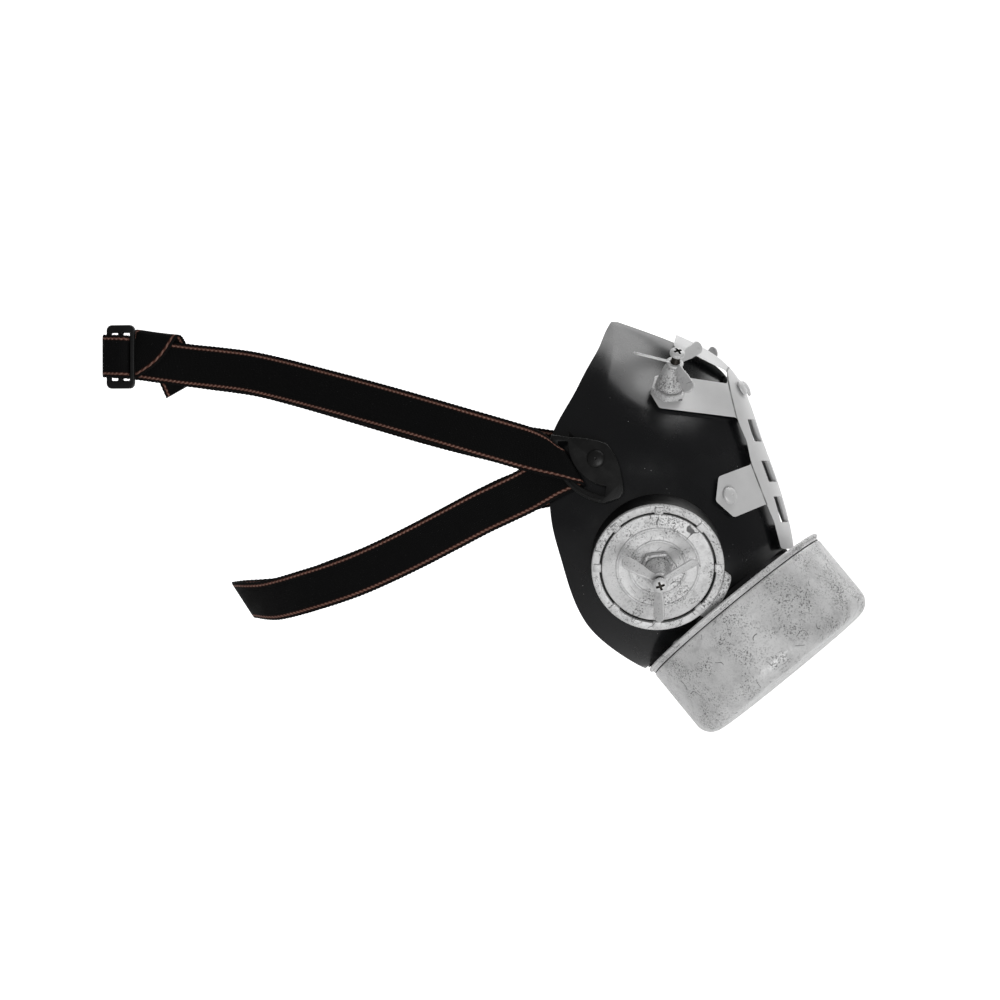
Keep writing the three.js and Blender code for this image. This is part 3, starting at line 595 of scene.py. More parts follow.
def make_grille(finish):
    sheet = shell_sheet("grille_sheet", shell_offset(plate_standoff))
    finish_modifier(sheet, "SUBSURF", levels=2, render_levels=2)
    finish_modifier(sheet, "SOLIDIFY", thickness=PLATE_THICKNESS, offset=1, use_quality_normals=True)
    sides = 80 * MM
    outline = [shell_place(x, v, 0) for x, v in PLATE_OUTLINE]
    prism = outline_slab("prism", [(p.x, p.z) for p in outline], -sides, sides)
    prism.data.transform(Matrix.Rotation(math.radians(90), 4, "X"))
    cut(sheet, outward(rounded(prism, PLATE_CORNER, 3, 15)), "INTERSECT")
    for low, high in SLOT_ROWS:
        for side in (-1, 1):
            ends = sorted(side * end for end in SLOT_ENDS)
            slot = box("slot", (SEAT_TO_ORIGIN, ends[0], low * SHELL_HEIGHT),
                       (4 * SEAT_TO_ORIGIN, ends[1], high * SHELL_HEIGHT))
            cut(sheet, rounded(slot, SLOT_CORNER, 3))
    cut_plane(sheet, CANISTER_SEAT, -PLATE_GAP)
    return dress(sheet, finish, "plate_grey", "grille_plate")


# Canister: a drum with a rounded front edge and a rolled rim at its back
CANISTER_EDGE = 8 * MM


def make_canister(finish):
    depth = DRUM_SIZE.z
    edge = CANISTER_EDGE
    foot = 1.1 * MM
    profile = [
        (0, 0), (DRUM_RADIUS - foot - 0.5 * MM, 0), *bow(DRUM_RADIUS - foot, foot, foot, -60, 0, 4),
        (DRUM_RADIUS, depth * 0.3), (DRUM_RADIUS, depth * 0.6),
        *bow(DRUM_RADIUS - edge, depth - edge, edge, 0, 90, 14), (0, depth),
    ]
    drum = turned("canister_drum", profile, 160)
    finish_modifier(drum, "SUBSURF", levels=1, render_levels=1, subdivision_type="SIMPLE")
    settle(drum, DRUM_SEAT)
    dress(drum, finish, "silver_paint", "canister_body", 40)
    thick = BACK_SIZE.z
    radius = BACK_SIZE.x / 2
    roll = 0.85 * MM
    rim = turned(
        "canister_rolled_rim",
        [(0, 0), (radius - roll, 0), *bow(radius - roll, roll, roll, -90, 70, 12),
         (DRUM_RADIUS - 0.35 * MM, 2 * roll), (DRUM_RADIUS - 0.35 * MM, thick), (0, thick)],
        160,
    )
    settle(rim, CANISTER_SEAT)
    dress(rim, finish, "silver_paint", "canister_back", 40)


# Side valve, in its own frame: z off the cheek, 0 at the foot of its disc
DISC_SEAT, DISC_SIZE = seat_of("valve_disc_right", TO_RIGHT)
VALVE_RADIUS = local_corners("valve_ring_right", DISC_SEAT)[1].x
RING_WIDTH = 3.4 * MM
RING_TOP = 2.25 * MM  # over the disc's foot
LUG_TOP = 3.05 * MM
LUG_WIDTH = 3.8 * MM
LUG_COUNT = 8
DISC_RINGS = (18.1 * MM, 12.4 * MM)


def make_valve_ring(finish):
    inner = VALVE_RADIUS - RING_WIDTH
    edge = 0.5 * MM
    profile = [
        (inner, 0), (VALVE_RADIUS - edge, 0), *bow(VALVE_RADIUS - edge, edge, edge, -60, 0, 3),
        *bow(VALVE_RADIUS - edge, RING_TOP - edge, edge, 0, 90, 5),
        *bow(inner + edge / 2, RING_TOP - edge / 2, edge / 2, 90, 180, 3),
    ]
    ring = turned("valve_rim", profile, 128, closed=True)
    parts = [ring]
    reach = (DISC_SIZE.x / 2 + 0.3 * MM, VALVE_RADIUS - 0.9 * MM)
    for i in range(LUG_COUNT):
        lug = box("lug", (reach[0], -LUG_WIDTH / 2, 0.1 * MM), (reach[1], LUG_WIDTH / 2, LUG_TOP))
        rounded(lug, 0.45 * MM, 3)
        lug.data.transform(Matrix.Rotation(math.tau * i / LUG_COUNT + math.pi / 2, 4, "Z"))
        parts.append(lug)
    rim = joined("valve_rim_right", parts)
    settle(rim, DISC_SEAT)
    return dress(rim, finish, "silver_paint", "valve_ring_right")


def make_valve_disc(finish):
    radius = DISC_SIZE.x / 2
    top = 1.85 * MM
    bead = 0.7 * MM
    edge = 0.45 * MM
    profile = [
        (0, 0), (radius - 0.2 * MM, 0), (radius, 0.3 * MM), *bow(radius - edge, top - edge, edge, 0, 90, 4),
    ]
    for middle in DISC_RINGS:
        outer, inner = middle + bead * 1.5, middle - bead * 1.5
        profile += [(outer, top), *bow(middle, top - 0.1 * MM, bead, 15, 165, 8), (inner, top)]
    profile += [(NUT_REACH * 1.06, top), (0, top)]
    disc = turned("valve_disc_plate_right", profile, 128)
    settle(disc, DISC_SEAT)
    return dress(disc, finish, "silver_paint", "valve_disc_right")


def make_valve_base(finish):
    """The black base that the valve sits on, sunk a little into the cheek."""
    base_top = -0.35 * MM
    edge = 0.6 * MM
    foot = local_corners("valve_base_right", DISC_SEAT)[0].z
    profile = [
        (0, foot), (VALVE_RADIUS, foot), (VALVE_RADIUS, foot * 0.5),
        *bow(VALVE_RADIUS - edge, base_top - edge, edge, 0, 90, 4), (0, base_top),
    ]
    base = turned("valve_seat_right", profile, 128)
    settle(base, DISC_SEAT)
    cut(base, shell_core(0.6 * MM))
    return dress(base, finish, "black_trim", "valve_base_right")


def make_catch(finish):
    """The crescent catch at the valve's front."""
    low, high = local_corners("valve_catch_right", DISC_SEAT)
    inner = VALVE_RADIUS + 0.3 * MM
    outer = VALVE_RADIUS + 4 * MM
    outline = [*arc((0, 0), inner, -52, -6, 16), *arc((0, 0), outer, -10, -48, 16)]
    catch = outline_slab("valve_catch_piece_right", outline, low.z, high.z)
    rounded(catch, 0.8 * MM, 4, 50)
    settle(catch, DISC_SEAT)
    return dress(catch, finish, "silver_paint", "valve_catch_right")


# Wing bolt, in its own frame: z along its axis, 0 at the foot of its nut
NUT_REACH = 8.5 * MM
NUT_TURN = math.radians(-22)
BOLT_SHANK = 2 * MM


def make_nut(name, place, height):
    """A hex nut with a shallow step round its hole."""
    select_nothing()
    middle = (0, 0, height / 2)
    bpy.ops.mesh.primitive_cylinder_add(vertices=6, radius=NUT_REACH, depth=height, location=middle)
    nut = added(name)
    bpy.ops.object.transform_apply(location=True, rotation=True, scale=True)
    nut.data.transform(Matrix.Rotation(NUT_TURN, 4, "Z"))
    rounded(nut, 0.3 * MM, 2)
    select_faces(nut, lambda face: face.normal.z > 0.99)
    bpy.ops.mesh.inset(thickness=0.9 * MM, depth=0)
    bpy.ops.mesh.inset(thickness=0.35 * MM, depth=-0.35 * MM)
    object_mode()
    return settle(nut, place)


def make_cone(name, place, heights):
    """The hub under the wing: a short skirt, then a cone with flats to its neck."""
    foot, top = heights
    wide, narrow = 6.2 * MM, 3.85 * MM
    profile = [
        (0, foot), (wide - 0.3 * MM, foot), (wide, foot + 0.3 * MM), (wide, foot + 1.8 * MM),
        (wide - 0.4 * MM, foot + 2.3 * MM), (narrow + 0.35 * MM, top - 1.6 * MM), (narrow, top - 1 * MM),
        *bow(narrow - 0.4 * MM, top - 0.4 * MM, 0.4 * MM, 0, 90, 3), (0, top),
    ]
    return settle(turned(name, profile, 64), place)


WING_REACH = 19 * MM
WING_WIDTH = 6 * MM
WING_HALF_THICKNESS = 0.6 * MM
WING_PITCH = math.radians(40)  # of each blade about its own length
WING_TURNS = {"valve": 30, "arm": 40}
SCREW_HEAD_HEIGHT = 2.4 * MM
RECESS_DEPTH = 1.4 * MM
RECESS_REACH = 2 * MM
RECESS_HALF_WIDTH = 0.55 * MM


def make_wing(name, place, heights, turn):
    """Three paddle blades round a hub that the screw passes through."""
    foot, top = heights
    half = WING_WIDTH / 2
    middle = (foot + top) / 2
    blades = []
    for i in range(3):
        tip = arc((WING_REACH - half, 0), half, -80, 80, 12)
        outline = [(2.2 * MM, -1.7 * MM), (6 * MM, -1.9 * MM), (10 * MM, -2.6 * MM), *tip,
                   (10 * MM, 2.6 * MM), (6 * MM, 1.9 * MM), (2.2 * MM, 1.7 * MM)]
        blade = outline_slab("blade", outline, -WING_HALF_THICKNESS, WING_HALF_THICKNESS)
        rounded(blade, 0.4 * MM, 3, 50)
        blade.data.transform(Matrix.Rotation(WING_PITCH, 4, "X"))
        blade.data.transform(Matrix.Translation((0, 0, middle)))
        blade.data.transform(Matrix.Rotation(math.radians(turn + 120 * i), 4, "Z"))
        blades.append(blade)
    edge = 0.5 * MM
    hole = 2.35 * MM
    shoulder = bow(3.9 * MM - edge, middle, edge, 0, 90, 4)
    profile = [(hole, foot), (3.6 * MM, foot), *shoulder, (hole, middle + edge)]
    hub = turned("hub", profile, 48, closed=True)
    wing = blades[0]
    for other in (*blades[1:], hub):
        cut(wing, other, "UNION")
    lone(wing)
    return settle(added(name), place)


def make_screw(name, place, heights, finish, dark_steel_and_recess_shade):
    """A threaded shank with a pan head and a cross recess; the second finish makes the shank's threads dark
    steel and paints shade into the recess.
    """
    foot, shank_top, top = heights
    head = 3.4 * MM
    pitch = 0.75 * MM
    threads = []
    height = foot
    while height + pitch < shank_top:
        threads += [(BOLT_SHANK - 0.3 * MM, height), (BOLT_SHANK, height + pitch / 2)]
        height += pitch
    profile = [
        (0, foot), *threads, (BOLT_SHANK - 0.3 * MM, height), (BOLT_SHANK - 0.3 * MM, shank_top),
        (head - 0.3 * MM, shank_top), (head, shank_top + 0.3 * MM), (head, shank_top + 1.1 * MM),
        *[(head * math.cos(a), shank_top + 1.1 * MM + (top - shank_top - 1.1 * MM) * math.sin(a))
          for a in (math.radians(d) for d in range(12, 84, 12))],
        (0, top),
    ]
    screw = turned(name, profile, 48)
    recess_floor = top - RECESS_DEPTH
    for turn in (20, 110):
        groove = box("groove", (-RECESS_REACH, -RECESS_HALF_WIDTH, recess_floor),
                     (RECESS_REACH, RECESS_HALF_WIDTH, top + 1 * MM))
        groove.data.transform(Matrix.Rotation(math.radians(turn), 4, "Z"))
        cut(screw, groove)
    screw.data.materials.clear()
    screw.data.materials.append(finish.material)
    screw.data.materials.append(dark_steel_and_recess_shade.material)
    # Faces of the cross recess take the dark finish as painted shade; faces below the head take it as the
    # threads' dark steel
    for face in screw.data.polygons:
        out = face.center.xy.length
        sunk = out < RECESS_REACH + 0.02 * MM and recess_floor - 0.01 * MM < face.center.z and (
            abs(face.normal.z) < 0.2 or face.center.z < recess_floor + 0.01 * MM)
        face.material_index = 1 if face.center.z < shank_top - 0.01 * MM or sunk else 0
    return settle(screw, place)


def make_bolt(kind, finish, hub_finish, clean, dark_steel_and_recess_shade):
    """The four pieces of a wing bolt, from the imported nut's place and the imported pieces' heights."""
    seat, _ = seat_of(kind + "_nut_right", TO_RIGHT)
    heights = {}
    for part in ("nut", "cone", "wing", "screw"):
        low, high = local_corners(f"{kind}_{part}_right", seat)
        heights[part] = (low.z, high.z)
    nut = make_nut(kind + "_hex_nut_right", seat, heights["nut"][1])
    cone = make_cone(kind + "_wing_hub_right", seat, heights["cone"])
    wing = make_wing(kind + "_wing_blades_right", seat, heights["wing"], WING_TURNS[kind])
    head_foot = heights["screw"][1] - SCREW_HEAD_HEIGHT
    screw_heights = (heights["screw"][0], head_foot, heights["screw"][1])
    screw = make_screw(kind + "_cross_screw_right", seat, screw_heights, clean, dark_steel_and_recess_shade)
    dress(nut, finish, "silver_paint", kind + "_nut_right", 30)
    dress(cone, hub_finish, "silver_paint", kind + "_cone_right", 30)
    dress(wing, clean, "silver_paint", kind + "_wing_right")
    claim(smooth(screw, 35), "silver_paint", kind + "_screw_right")
    return [nut, cone, wing, screw]


# Dome rivets, with a small dimple in the middle
LOW_RIVET_SHIFT = -3 * MM  # back along the arm, to where the picture shows it


def make_rivet(name, node, toward, finish, slot, shift=0):
    seat, size = seat_of(node, toward)
    seat = seat @ Matrix.Translation((shift, 0, 0))
    radius = size.x / 2
    rise = size.z
    profile = [(0, 0), (radius - 0.3 * MM, 0), (radius, 0.25 * MM), (radius, 0.5 * MM)]
    for degrees_up in range(10, 80, 7):
        a = math.radians(degrees_up)
        profile.append((radius * math.cos(a), 0.4 * MM + (rise - 0.4 * MM) * math.sin(a)))
    profile += [(0.7 * MM, rise), (0.3 * MM, rise - 0.35 * MM), (0, rise - 0.4 * MM)]
    rivet = turned(name, profile, 64)
    settle(rivet, seat)
    return dress(rivet, finish, slot, node)


# Strap tab, in its own frame: z off the cheek, 0 at the foot of its rivet; x to the front
TAB_OUTLINE = [
    (10.6, -17.3), (12.5, -14.6), (12, -10), (10.6, -3.6), (8.8, 0.9), (6.5, 4.5), (4.6, 6.8),
    (0.5, 8.2), (-5.5, 9.4), (-12.4, 9.8),
]
SLOT_CENTRE = (7.5 * MM, 8 * MM)
SLOT_TURN = (180, 262)
SLOT_RADIUS = 20.3 * MM
TAB_SLOT_WIDTH = 4.4 * MM
TAB_BAR_WIDTH = 3.2 * MM
TAB_THICKNESS = 2.2 * MM


def make_tab(finish):
    seat, _ = seat_of("tab_rivet_right", TO_RIGHT)
    front = local_corners("strap_tab_right", seat)[1].z
    outer = SLOT_RADIUS + TAB_SLOT_WIDTH + TAB_BAR_WIDTH
    outline = [*arc(SLOT_CENTRE, outer, SLOT_TURN[0] - 6, SLOT_TURN[1], 40),
               *[(x * MM, y * MM) for x, y in TAB_OUTLINE]]
    plate = outline_slab("strap_tab_plate_right", outline, front - TAB_THICKNESS, front)
    slot = outline_slab(
        "slot",
        [*arc(SLOT_CENTRE, SLOT_RADIUS, *SLOT_TURN, 32),
         *arc(SLOT_CENTRE, SLOT_RADIUS + TAB_SLOT_WIDTH, SLOT_TURN[1], SLOT_TURN[0], 32)],
        front - 2 * TAB_THICKNESS, front + TAB_THICKNESS,
    )
    cut(plate, slot)
    rounded(plate, 0.6 * MM, 3, 50)
    boss_foot = -2 * TAB_THICKNESS - 2 * MM
    boss_top = front - TAB_THICKNESS / 2
    boss_radius = 3.9 * MM
    profile = [(0, boss_foot), (boss_radius, boss_foot), (boss_radius, boss_top), (0, boss_top)]
    boss = settle(turned("boss", profile, 48), seat)
    cut(boss, shell_core(0.5 * MM))
    lip = make_slot_lip(front)
    tab = joined("strap_tab_plate_right", [settle(plate, seat), boss, settle(lip, seat)])
    return dress(tab, finish, "black_trim", "strap_tab_right")


def make_slot_lip(front):
    """The raised lip along the slot's outer bar."""
    width = 1.1 * MM
    middle = SLOT_RADIUS + TAB_SLOT_WIDTH + TAB_BAR_WIDTH - width
    start, end = SLOT_TURN[0] + 4, SLOT_TURN[1] - 3
    outline = [*arc(SLOT_CENTRE, middle + width / 2, start, end, 32),
               *arc(SLOT_CENTRE, middle - width / 2, end, start, 32)]
    lip = outline_slab("lip", outline, front - 0.2 * MM, front + 0.45 * MM)
    return rounded(lip, 0.3 * MM, 3, 50)


# Slider: a moulded frame with three upright bars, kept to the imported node's box in its own frame
def make_slider(finish):
    node = "strap_slider"
    seat, size = seat_of(node, TO_RIGHT)
    half = size.x / 2
    tall = size.y / 2
    corner = 2.5 * MM
    outline = []
    for i, (x, y) in enumerate(((1, 1), (-1, 1), (-1, -1), (1, -1))):
        outline += arc((x * (half - corner), y * (tall - corner)), corner, 90 * i, 90 * i + 90, 6)
    slider = outline_slab("strap_slider_moulding", outline, 0, size.z)
    bar = 2.2 * MM
    window = (size.x - 3 * bar) / 2
    high = 11.05 * MM
    for start in (-bar / 2 - window, bar / 2):
        hole = box("window", (start, -high, -size.z), (start + window, high, 2 * size.z))
        rounded(hole, 0.4 * MM, 2)
        cut(slider, hole)
    rounded(slider, 0.5 * MM, 3, 50)
    settle(slider, seat)
    return dress(slider, finish, "black_trim", node)


# Head strap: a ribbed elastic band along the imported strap's own middle line
STRAP_WIDTH = 20 * MM
STRAP_THICKNESS = 1.2 * MM
RIB_PITCH = 2.1 * MM
RIB_STEPS = 4  # rows of points in one rib
SERRATION = 0.22 * MM
LINE_AT = 8.2  # mm from the band's middle to its copper lines
# A quarter of the band's section: shares of its half width and half thickness
BAND_SECTION = [(0, 1), (0.5, 1), (0.82, 1), (0.94, 0.86), (0.985, 0.5), (1, 0)]


def strap_stations():
    """The middle and half-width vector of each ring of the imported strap, from one end to the other."""
    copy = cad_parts["head_strap"].copy()
    copy.data = copy.data.copy()
    copy.parent = None
    bpy.context.collection.objects.link(copy)
    edit_all(copy)
    bpy.ops.mesh.remove_doubles(threshold=0.01 * MM)
    object_mode()
    mesh = copy.data
    near = {vertex.index: set() for vertex in mesh.vertices}
    for a, b in (edge.vertices for edge in mesh.edges):
        near[a].add(b)
        near[b].add(a)
    ends = [i for i, around in near.items() if len(around) == 4]
    layer = {min(ends, key=lambda i: mesh.vertices[i].co.x)}
    seen = set(layer)
    stations = []
    while layer:
        layer = set().union(*(near[i] for i in layer)) - seen
        seen |= layer
        if len(layer) != 4:
            continue
        corners = [mesh.vertices[i].co.copy() for i in layer]
        first = corners[0]
        twin = min(corners[1:], key=lambda p: (p - first).length)
        far = [p for p in corners if p is not first and p is not twin]
        half = ((first + twin) - (far[0] + far[1])) / 4
        if stations and stations[-1][1].dot(half) < 0:
            half = -half
        stations.append((sum(corners, Vector()) / 4, half))
    bpy.data.objects.remove(copy)
    if stations[0][1].z < 0:
        stations = [(middle, -half) for middle, half in stations]
    return stations


def fine_route(stations):
    """Stations at even steps along the band, each with its distance along it."""
    middles = [middle for middle, _ in stations]
    halves = [half for _, half in stations]
    last = len(stations) - 1
    samples = []
    length = 0
    for i in range(last * 12 + 1):
        share = i / (last * 12)
        point = curve_point(middles, share)
        if samples:
            length += (point - samples[-1][0]).length
        samples.append((point, share, length))
    step = RIB_PITCH / RIB_STEPS
    count = int(length / step)
    route = []
    j = 0
    for i in range(count + 1):
        goal = length * i / count
        while j < len(samples) - 2 and samples[j + 1][2] < goal:
            j += 1
        (p, s, a), (q, t, b) = samples[j], samples[j + 1]
        k = (goal - a) / max(b - a, 1e-9)
        share = s + (t - s) * k
        place = min(int(share * last), last - 1)
        half = halves[place].lerp(halves[place + 1], share * last - place).normalized() * STRAP_WIDTH / 2
        route.append((p.lerp(q, k), half, goal))
    return route


def make_strap(finish):
    route = fine_route(strap_stations())
    upper = [(u, v) for u, v in reversed(BAND_SECTION)]
    loop = upper + [(-u, v) for u, v in BAND_SECTION[1:]]
    loop += [(-u, -v) for u, v in reversed(BAND_SECTION[1:-1])] + [(u, -v) for u, v in BAND_SECTION[:-1]]
    rows = []
    for i, (middle, half, _) in enumerate(route):
        before = route[max(i - 1, 0)][0]
        after = route[min(i + 1, len(route) - 1)][0]
        off = (after - before).cross(half).normalized() * STRAP_THICKNESS / 2
        phase = math.tau * i / RIB_STEPS
        wide = 1 + SERRATION / STRAP_WIDTH * (math.cos(phase) - 1)
        narrow = 1 + SERRATION / STRAP_WIDTH * (math.cos(phase + math.pi) - 1)
        rows.append([middle + half * u * (wide if u > 0 else narrow) + off * v for u, v in loop])
    band = grid_piece("head_strap_band", [[*row, row[0]] for row in rows])
    layer = band.data.uv_layers[0]
    layer.name = "band"
    columns = len(loop) + 1
    across = [u for u, _ in loop] + [loop[0][0]]
    for corner in band.data.loops:
        row, column = divmod(corner.vertex_index, columns)
        layer.data[corner.index].uv = (route[row][2] / STRAP_WIDTH, 0.5 + across[column] / 2)
    edit_all(band)
    bpy.ops.mesh.remove_doubles(threshold=0.002 * MM)
    bpy.ops.mesh.select_mode(type="EDGE")
    bpy.ops.mesh.select_all(action="DESELECT")
    bpy.ops.mesh.select_non_manifold()
    bpy.ops.mesh.edge_face_add()
    bpy.ops.mesh.select_all(action="SELECT")
    bpy.ops.mesh.normals_make_consistent(inside=False)
    object_mode()
    return dress(band, finish, "strap_elastic", "head_strap", 50)


# Finishes
BLACK_SHELL = grey(0.004, (0.9, 0.95, 1.15))


def shell_finish():
    """Glossy black plastic with a fine orange peel, dull patches and pale dust specks."""
    paint = Finish("black_shell")
    patches = paint.noise(28 * MM, 3).step(0.42, 0.66)
    fine = paint.noise(0.9 * MM, 2)
    near_speck = paint.cells(3.1 * MM) < 0.06
    thick_dust = paint.noise(16 * MM, 4).step(0.5, 0.62)
    specks = near_speck * thick_dust
    colour = paint.blend(specks, BLACK_SHELL, grey(0.3))
    paint.feed("Base Color", colour)
    paint.feed("Roughness", 0.2 + patches * 0.1 + fine * 0.06 + specks * 0.3)
    paint.bump(paint.noise(4.5 * MM, 2) * 0.6 + fine * 0.05 + specks * 0.5, 0.05 * MM)
    return paint


def silver_finish(name="silver_paint", dark=0.0):
    """Worn silver paint: dark stipple, rubbed patches, fine scratches and a grained surface."""
    paint = Finish(name)
    stipple = paint.noise(0.8 * MM, 4, 0.75).step(0.52 - dark, 0.61 - dark)
    where = paint.noise(12 * MM, 4, 0.65).step(0.4 - dark, 0.62 - dark)
    marks = stipple * (0.15 + where * 0.85)
    run = paint.stretched((0, 0, 0.6), (6 * MM, 0.6 * MM, 0.6 * MM))
    scratches = paint.noise(1, 3, 0.65, run).step(0.6 - dark, 0.68 - dark) * where
    smudges = paint.noise(4 * MM, 5, 0.7).step(0.48 - dark, 0.66 - dark)
    hairlines = 1 - abs(paint.noise(13 * MM, 1) - 0.5).step(0.002, 0.007)
    hairlines = hairlines * paint.noise(9 * MM, 1).step(0.56 - dark, 0.6 - dark)
    dirt = marks.math("MAXIMUM", scratches * 0.8).math("MAXIMUM", hairlines * 0.95)
    dirt = dirt.math("MAXIMUM", smudges * 0.22)
    cloudy = paint.noise(14 * MM, 3)
    base = paint.blend(cloudy.step(0.35, 0.65), grey(0.66), grey(0.76))
    paint.feed("Base Color", paint.blend(dirt * 0.9, base, grey(0.05, (1, 1, 1.04))))
    paint.feed("Roughness", 0.42 + dirt * 0.25 + cloudy * 0.1)
    paint.feed("Metallic", 0.2 - dirt * 0.15)
    paint.bump(paint.noise(1.1 * MM, 4, 0.6) * 0.7 + dirt * -0.6, 0.12 * MM)
    return paint


def plate_finish():
    """Smooth satin grey paint with faint clouding, and a painted shadow line along the nose strip's edge on
    the arms.
    """
    paint = Finish("plate_paint", {"Metallic": 0.1})
    cloudy = paint.noise(18 * MM, 3).step(0.35, 0.65)
    grain = paint.noise(0.8 * MM, 3)
    axes = paint.node("ShaderNodeSeparateXYZ", {}, {"Vector": paint.place})
    places = [shell_place(x, v, 0) for x, v in FOLD_LINE]
    fold = places[0].x
    for above, below in zip(places, places[1:]):
        fold = axes.number("Z").share(above.z, below.z) * (below.x - above.x) + fold
    # Painted shadow line: the base colour darkens along the nose strip's edge on the arms, as the shade
    # under a raised edge, and the bump cuts a shallow groove there
    fold_shadow_line = 1 - abs(axes.number("X") - fold).step(0.12 * MM, 0.42 * MM)
    # Noise that only varies how dark the painted shadow line is
    shadow_line_noise = paint.noise(7 * MM, 3).step(0.3, 0.6)
    colour = paint.blend(cloudy * 0.6 + grain * 0.3, grey(0.66), grey(0.74))
    paint.feed("Base Color", paint.blend(fold_shadow_line * (0.5 + shadow_line_noise * 0.4), colour, grey(0.05)))
    paint.feed("Roughness", 0.38 + grain * 0.1 + cloudy * 0.06 + fold_shadow_line * 0.2)
    paint.bump(grain * 0.15 - fold_shadow_line, 0.2 * MM)
    return paint


def trim_finish():
    """Satin black plastic of the tabs, bases and slider."""
    paint = Finish("black_trim_plastic", {"Specular IOR Level": 0.38})
    grain = paint.noise(0.7 * MM, 3)
    cloudy = paint.noise(8 * MM, 3).step(0.4, 0.7)
    paint.feed("Base Color", paint.blend(cloudy, grey(0.004), grey(0.007)))
    paint.feed("Roughness", 0.34 + grain * 0.12 + cloudy * 0.08)
    paint.bump(grain * 0.7 + cloudy * 0.3, 0.04 * MM)
    return paint


def strap_finish():
    """Ribbed black elastic with a twisted copper line near each edge."""
    cloth = Finish("ribbed_elastic", {"Specular IOR Level": 0.15})
    uv = cloth.node("ShaderNodeUVMap", {"uv_map": "band"}, {}).out()
    axes = cloth.node("ShaderNodeSeparateXYZ", {}, {"Vector": uv})
    along = axes.number("X") * (STRAP_WIDTH / MM)
    across = abs(axes.number("Y") - 0.5) * (STRAP_WIDTH / MM)
    rib = (along * (math.tau / (RIB_PITCH / MM))).math("SINE")
    weft = (along * (math.tau / 0.7)).math("SINE")
    warp = (across * (math.tau / 0.9)).math("SINE")
    line = 1 - abs(across - LINE_AT - rib * 0.1).step(0.3, 0.55)
    twist = ((along + across * 0.9) * (math.tau / (RIB_PITCH / MM))).math("SINE")
    copper = cloth.blend(twist.step(-0.8, 0.9), grey(0.13, (1, 0.38, 0.27)), grey(0.32, (1, 0.56, 0.44)))
    worn = cloth.noise(12 * MM, 3).step(0.38, 0.62)
    copper = cloth.blend(worn * 0.4, copper, grey(0.14, (1, 0.5, 0.38)))
    black = cloth.blend(weft.step(-0.8, 0.8) * 0.5 + worn * 0.3, grey(0.0015), grey(0.004, (1, 1, 1.04)))
    fringe = 1 - abs(across - LINE_AT).step(0.6, 1.1)
    black = cloth.blend(fringe * 0.8, black, grey(0.02, (1, 0.25, 0.15)))
    cloth.feed("Base Color", cloth.blend(line, black, copper))
    cloth.feed("Roughness", 0.8 - line * 0.2 + worn * 0.1)
    cloth.bump(weft * 0.25 + warp * 0.2 + line * (0.5 + twist * 0.3) + rib * 0.1, 0.18 * MM)
    return cloth


def dark_steel_and_recess_shade_finish():
    """Dark oiled steel of the screws' threads, also used as painted shade in their cross recesses."""
    steel = Finish("dark_thread_and_recess_shade", {"Metallic": 0.6})
    worn = steel.noise(0.5 * MM, 3)
    steel.feed("Base Color", steel.blend(worn, grey(0.008, (1, 0.85, 0.7)), grey(0.05, (1, 0.85, 0.7))))
    steel.feed("Roughness", 0.35 + worn * 0.2)
    return steel


# The object
def build_mask():
    shell_black = shell_finish()
    silver = silver_finish()
    clean_silver = silver_finish("clean_silver_paint", -0.05)
    dark_silver = silver_finish("dark_silver_paint", 0.03)
    dark_steel_and_recess_shade = dark_steel_and_recess_shade_finish()
    plate = plate_finish()
    trim = trim_finish()
    make_shell(shell_black)
    make_grille(plate)
    make_canister(silver)
    right = [
        make_valve_ring(silver), make_valve_disc(silver), make_valve_base(trim), make_catch(silver),
        make_tab(trim),
        make_rivet("tab_dome_right", "tab_rivet_right", TO_RIGHT, trim, "black_trim"),
        make_rivet("plate_dome_low_right", "plate_rivet_low_right", TO_RIGHT, plate, "plate_grey",
                   LOW_RIVET_SHIFT),
        make_rivet("plate_dome_top_right", "plate_rivet_top_right", TO_FRONT, plate, "plate_grey"),
        *make_bolt("valve", silver, silver, clean_silver, dark_steel_and_recess_shade),
        *make_bolt("arm", silver, dark_silver, clean_silver, dark_steel_and_recess_shade),
    ]
    for piece in right:
        nodes = [node.replace("_right", "_left") for node in piece["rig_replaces"]]
        claim(mirror_of(piece, piece.name.replace("_right", "_left")), piece["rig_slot"], *nodes)
    make_strap(strap_finish())
    make_slider(trim)


# Stage, lights and camera
FLOOR_HEIGHT = -1.3
STAGE_BEND = 0.6
LIGHT_AIM = Vector((0.04, 0, 0))
LIGHT_DISTANCE = 1.5
STUDIO_AIR = 0.17  # brightness from all round
LIGHTS = [  # name, degrees round to the front from the wearer's right, degrees up, size, brightness
    ("softbox_front_top", 110, 62, (0.95, 0.85), 2.2),
    ("softbox_behind", 160, 60, (1.2, 0.9), 1.9),
    ("fill_low", 22, -19, (0.8, 0.6), 7.2),
]


def stage_sheet(name, points, brightness, glow):
    """A wide sheet through (distance towards the camera, height) points, with a paper finish."""
    rows = [[Vector((side * 4.5, -y, z)) for side in (-1, 1)] for y, z in points]
    sheet = grid_piece(name, rows)
    sheet.data.transform(Matrix.Rotation(PHOTO_YAW, 4, "Z"))
    paper = Finish(name + "_paper", {
        "Base Color": grey(brightness), "Roughness": 0.9,
        "Emission Color": grey(1), "Emission Strength": glow,
    })
    sheet.data.materials.append(paper.material)
    smooth(sheet, 60)


def make_stage():
    """A pale floor and, behind the mask, a lit backdrop that curves up from it."""
    bend = [(-1.6 - STAGE_BEND * math.sin(a), FLOOR_HEIGHT + STAGE_BEND * (1 - math.cos(a)))
            for a in (math.radians(d) for d in range(0, 91, 6))]
    stage_sheet("pale_floor", [(3.0, FLOOR_HEIGHT), bend[0]], 0.7, 0)
    stage_sheet("lit_backdrop", [*bend, (bend[-1][0], 5.0)], 0.8, 1.0)


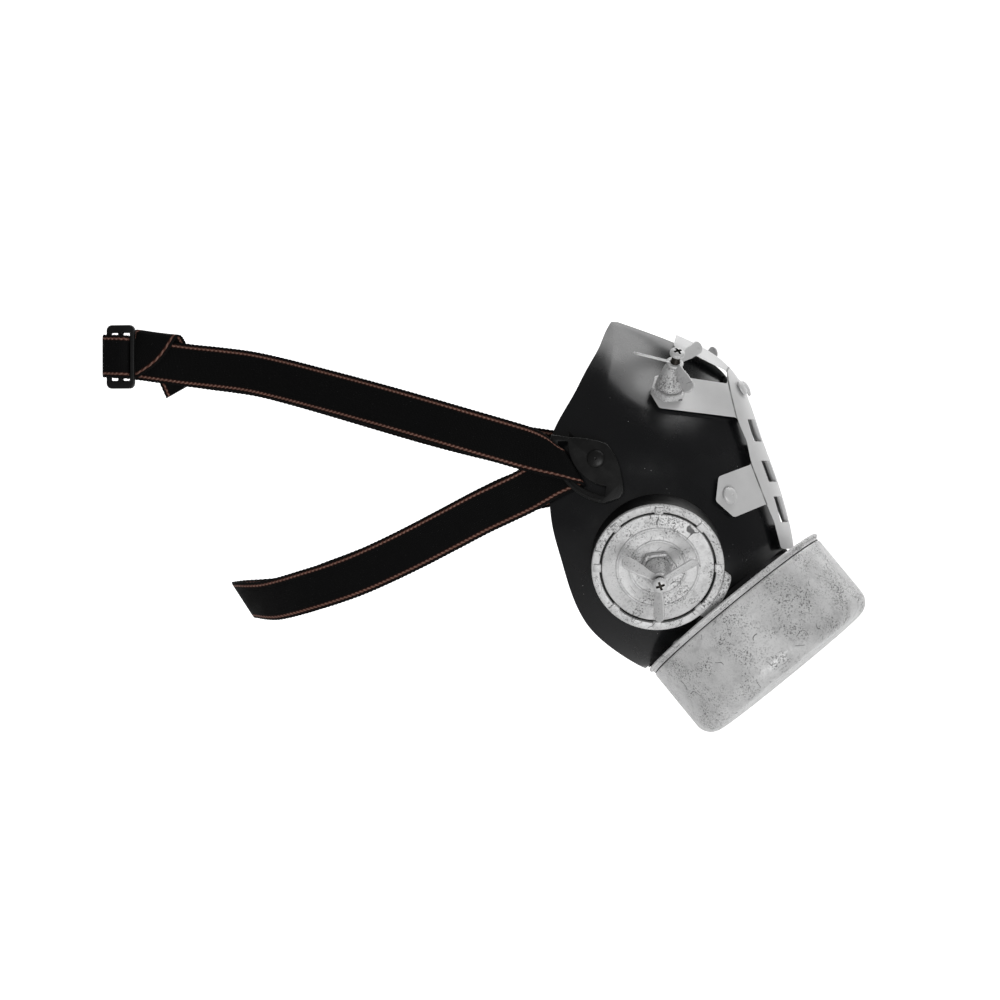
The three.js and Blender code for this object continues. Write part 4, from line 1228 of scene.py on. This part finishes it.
def add_light(name, place, aim, size, brightness):
    """A soft box whose face has this brightness, a diffuse white in full light being 1."""
    data = bpy.data.lights.new(name, "AREA")
    data.shape = "RECTANGLE"
    data.size, data.size_y = size
    data.energy = brightness * math.pi * size[0] * size[1]
    lamp = bpy.data.objects.new(name, data)
    bpy.context.collection.objects.link(lamp)
    lamp.location = place
    lamp.rotation_euler = (Vector(aim) - Vector(place)).to_track_quat("-Z", "Y").to_euler()
    return lamp


def make_lights():
    for name, round_by, up_by, size, brightness in LIGHTS:
        turn, rise = math.radians(round_by), math.radians(up_by)
        out = Vector((math.sin(turn) * math.cos(rise), -math.cos(turn) * math.cos(rise), math.sin(rise)))
        add_light(name, LIGHT_AIM + out * LIGHT_DISTANCE, LIGHT_AIM, size, brightness)
    world = bpy.data.worlds.new("studio")
    bpy.context.scene.world = world
    world.use_nodes = True
    background = world.node_tree.nodes["Background"]
    background.inputs["Color"].default_value = grey(1.0)
    background.inputs["Strength"].default_value = STUDIO_AIR


def make_camera():
    """The photograph's view: level, a little from the front of the wearer's right."""
    out = Vector((math.sin(PHOTO_YAW), -math.cos(PHOTO_YAW), 0))
    across = Vector((math.cos(PHOTO_YAW), math.sin(PHOTO_YAW), 0))
    column, row = MASK_MIDDLE_PIXEL
    middle = Vector((SEAT_TO_ORIGIN, 0, 0))
    right, down = IMAGE_PIXELS / 2 - column, IMAGE_PIXELS / 2 - row
    aim = middle + across * right * PHOTO_SCALE - UP * down * PHOTO_SCALE
    data = bpy.data.cameras.new("camera")
    data.sensor_width = 36
    data.lens = data.sensor_width * CAMERA_DISTANCE / (IMAGE_PIXELS * PHOTO_SCALE)
    data.clip_start = 0.1
    data.clip_end = 30
    camera = bpy.data.objects.new("camera", data)
    bpy.context.collection.objects.link(camera)
    camera.location = aim + out * CAMERA_DISTANCE
    camera.rotation_euler = (-out).to_track_quat("-Z", "Y").to_euler()
    bpy.context.scene.camera = camera


make_camera()
make_lights()
make_stage()
build_mask()
bpy.context.scene.view_settings.view_transform = "Standard"
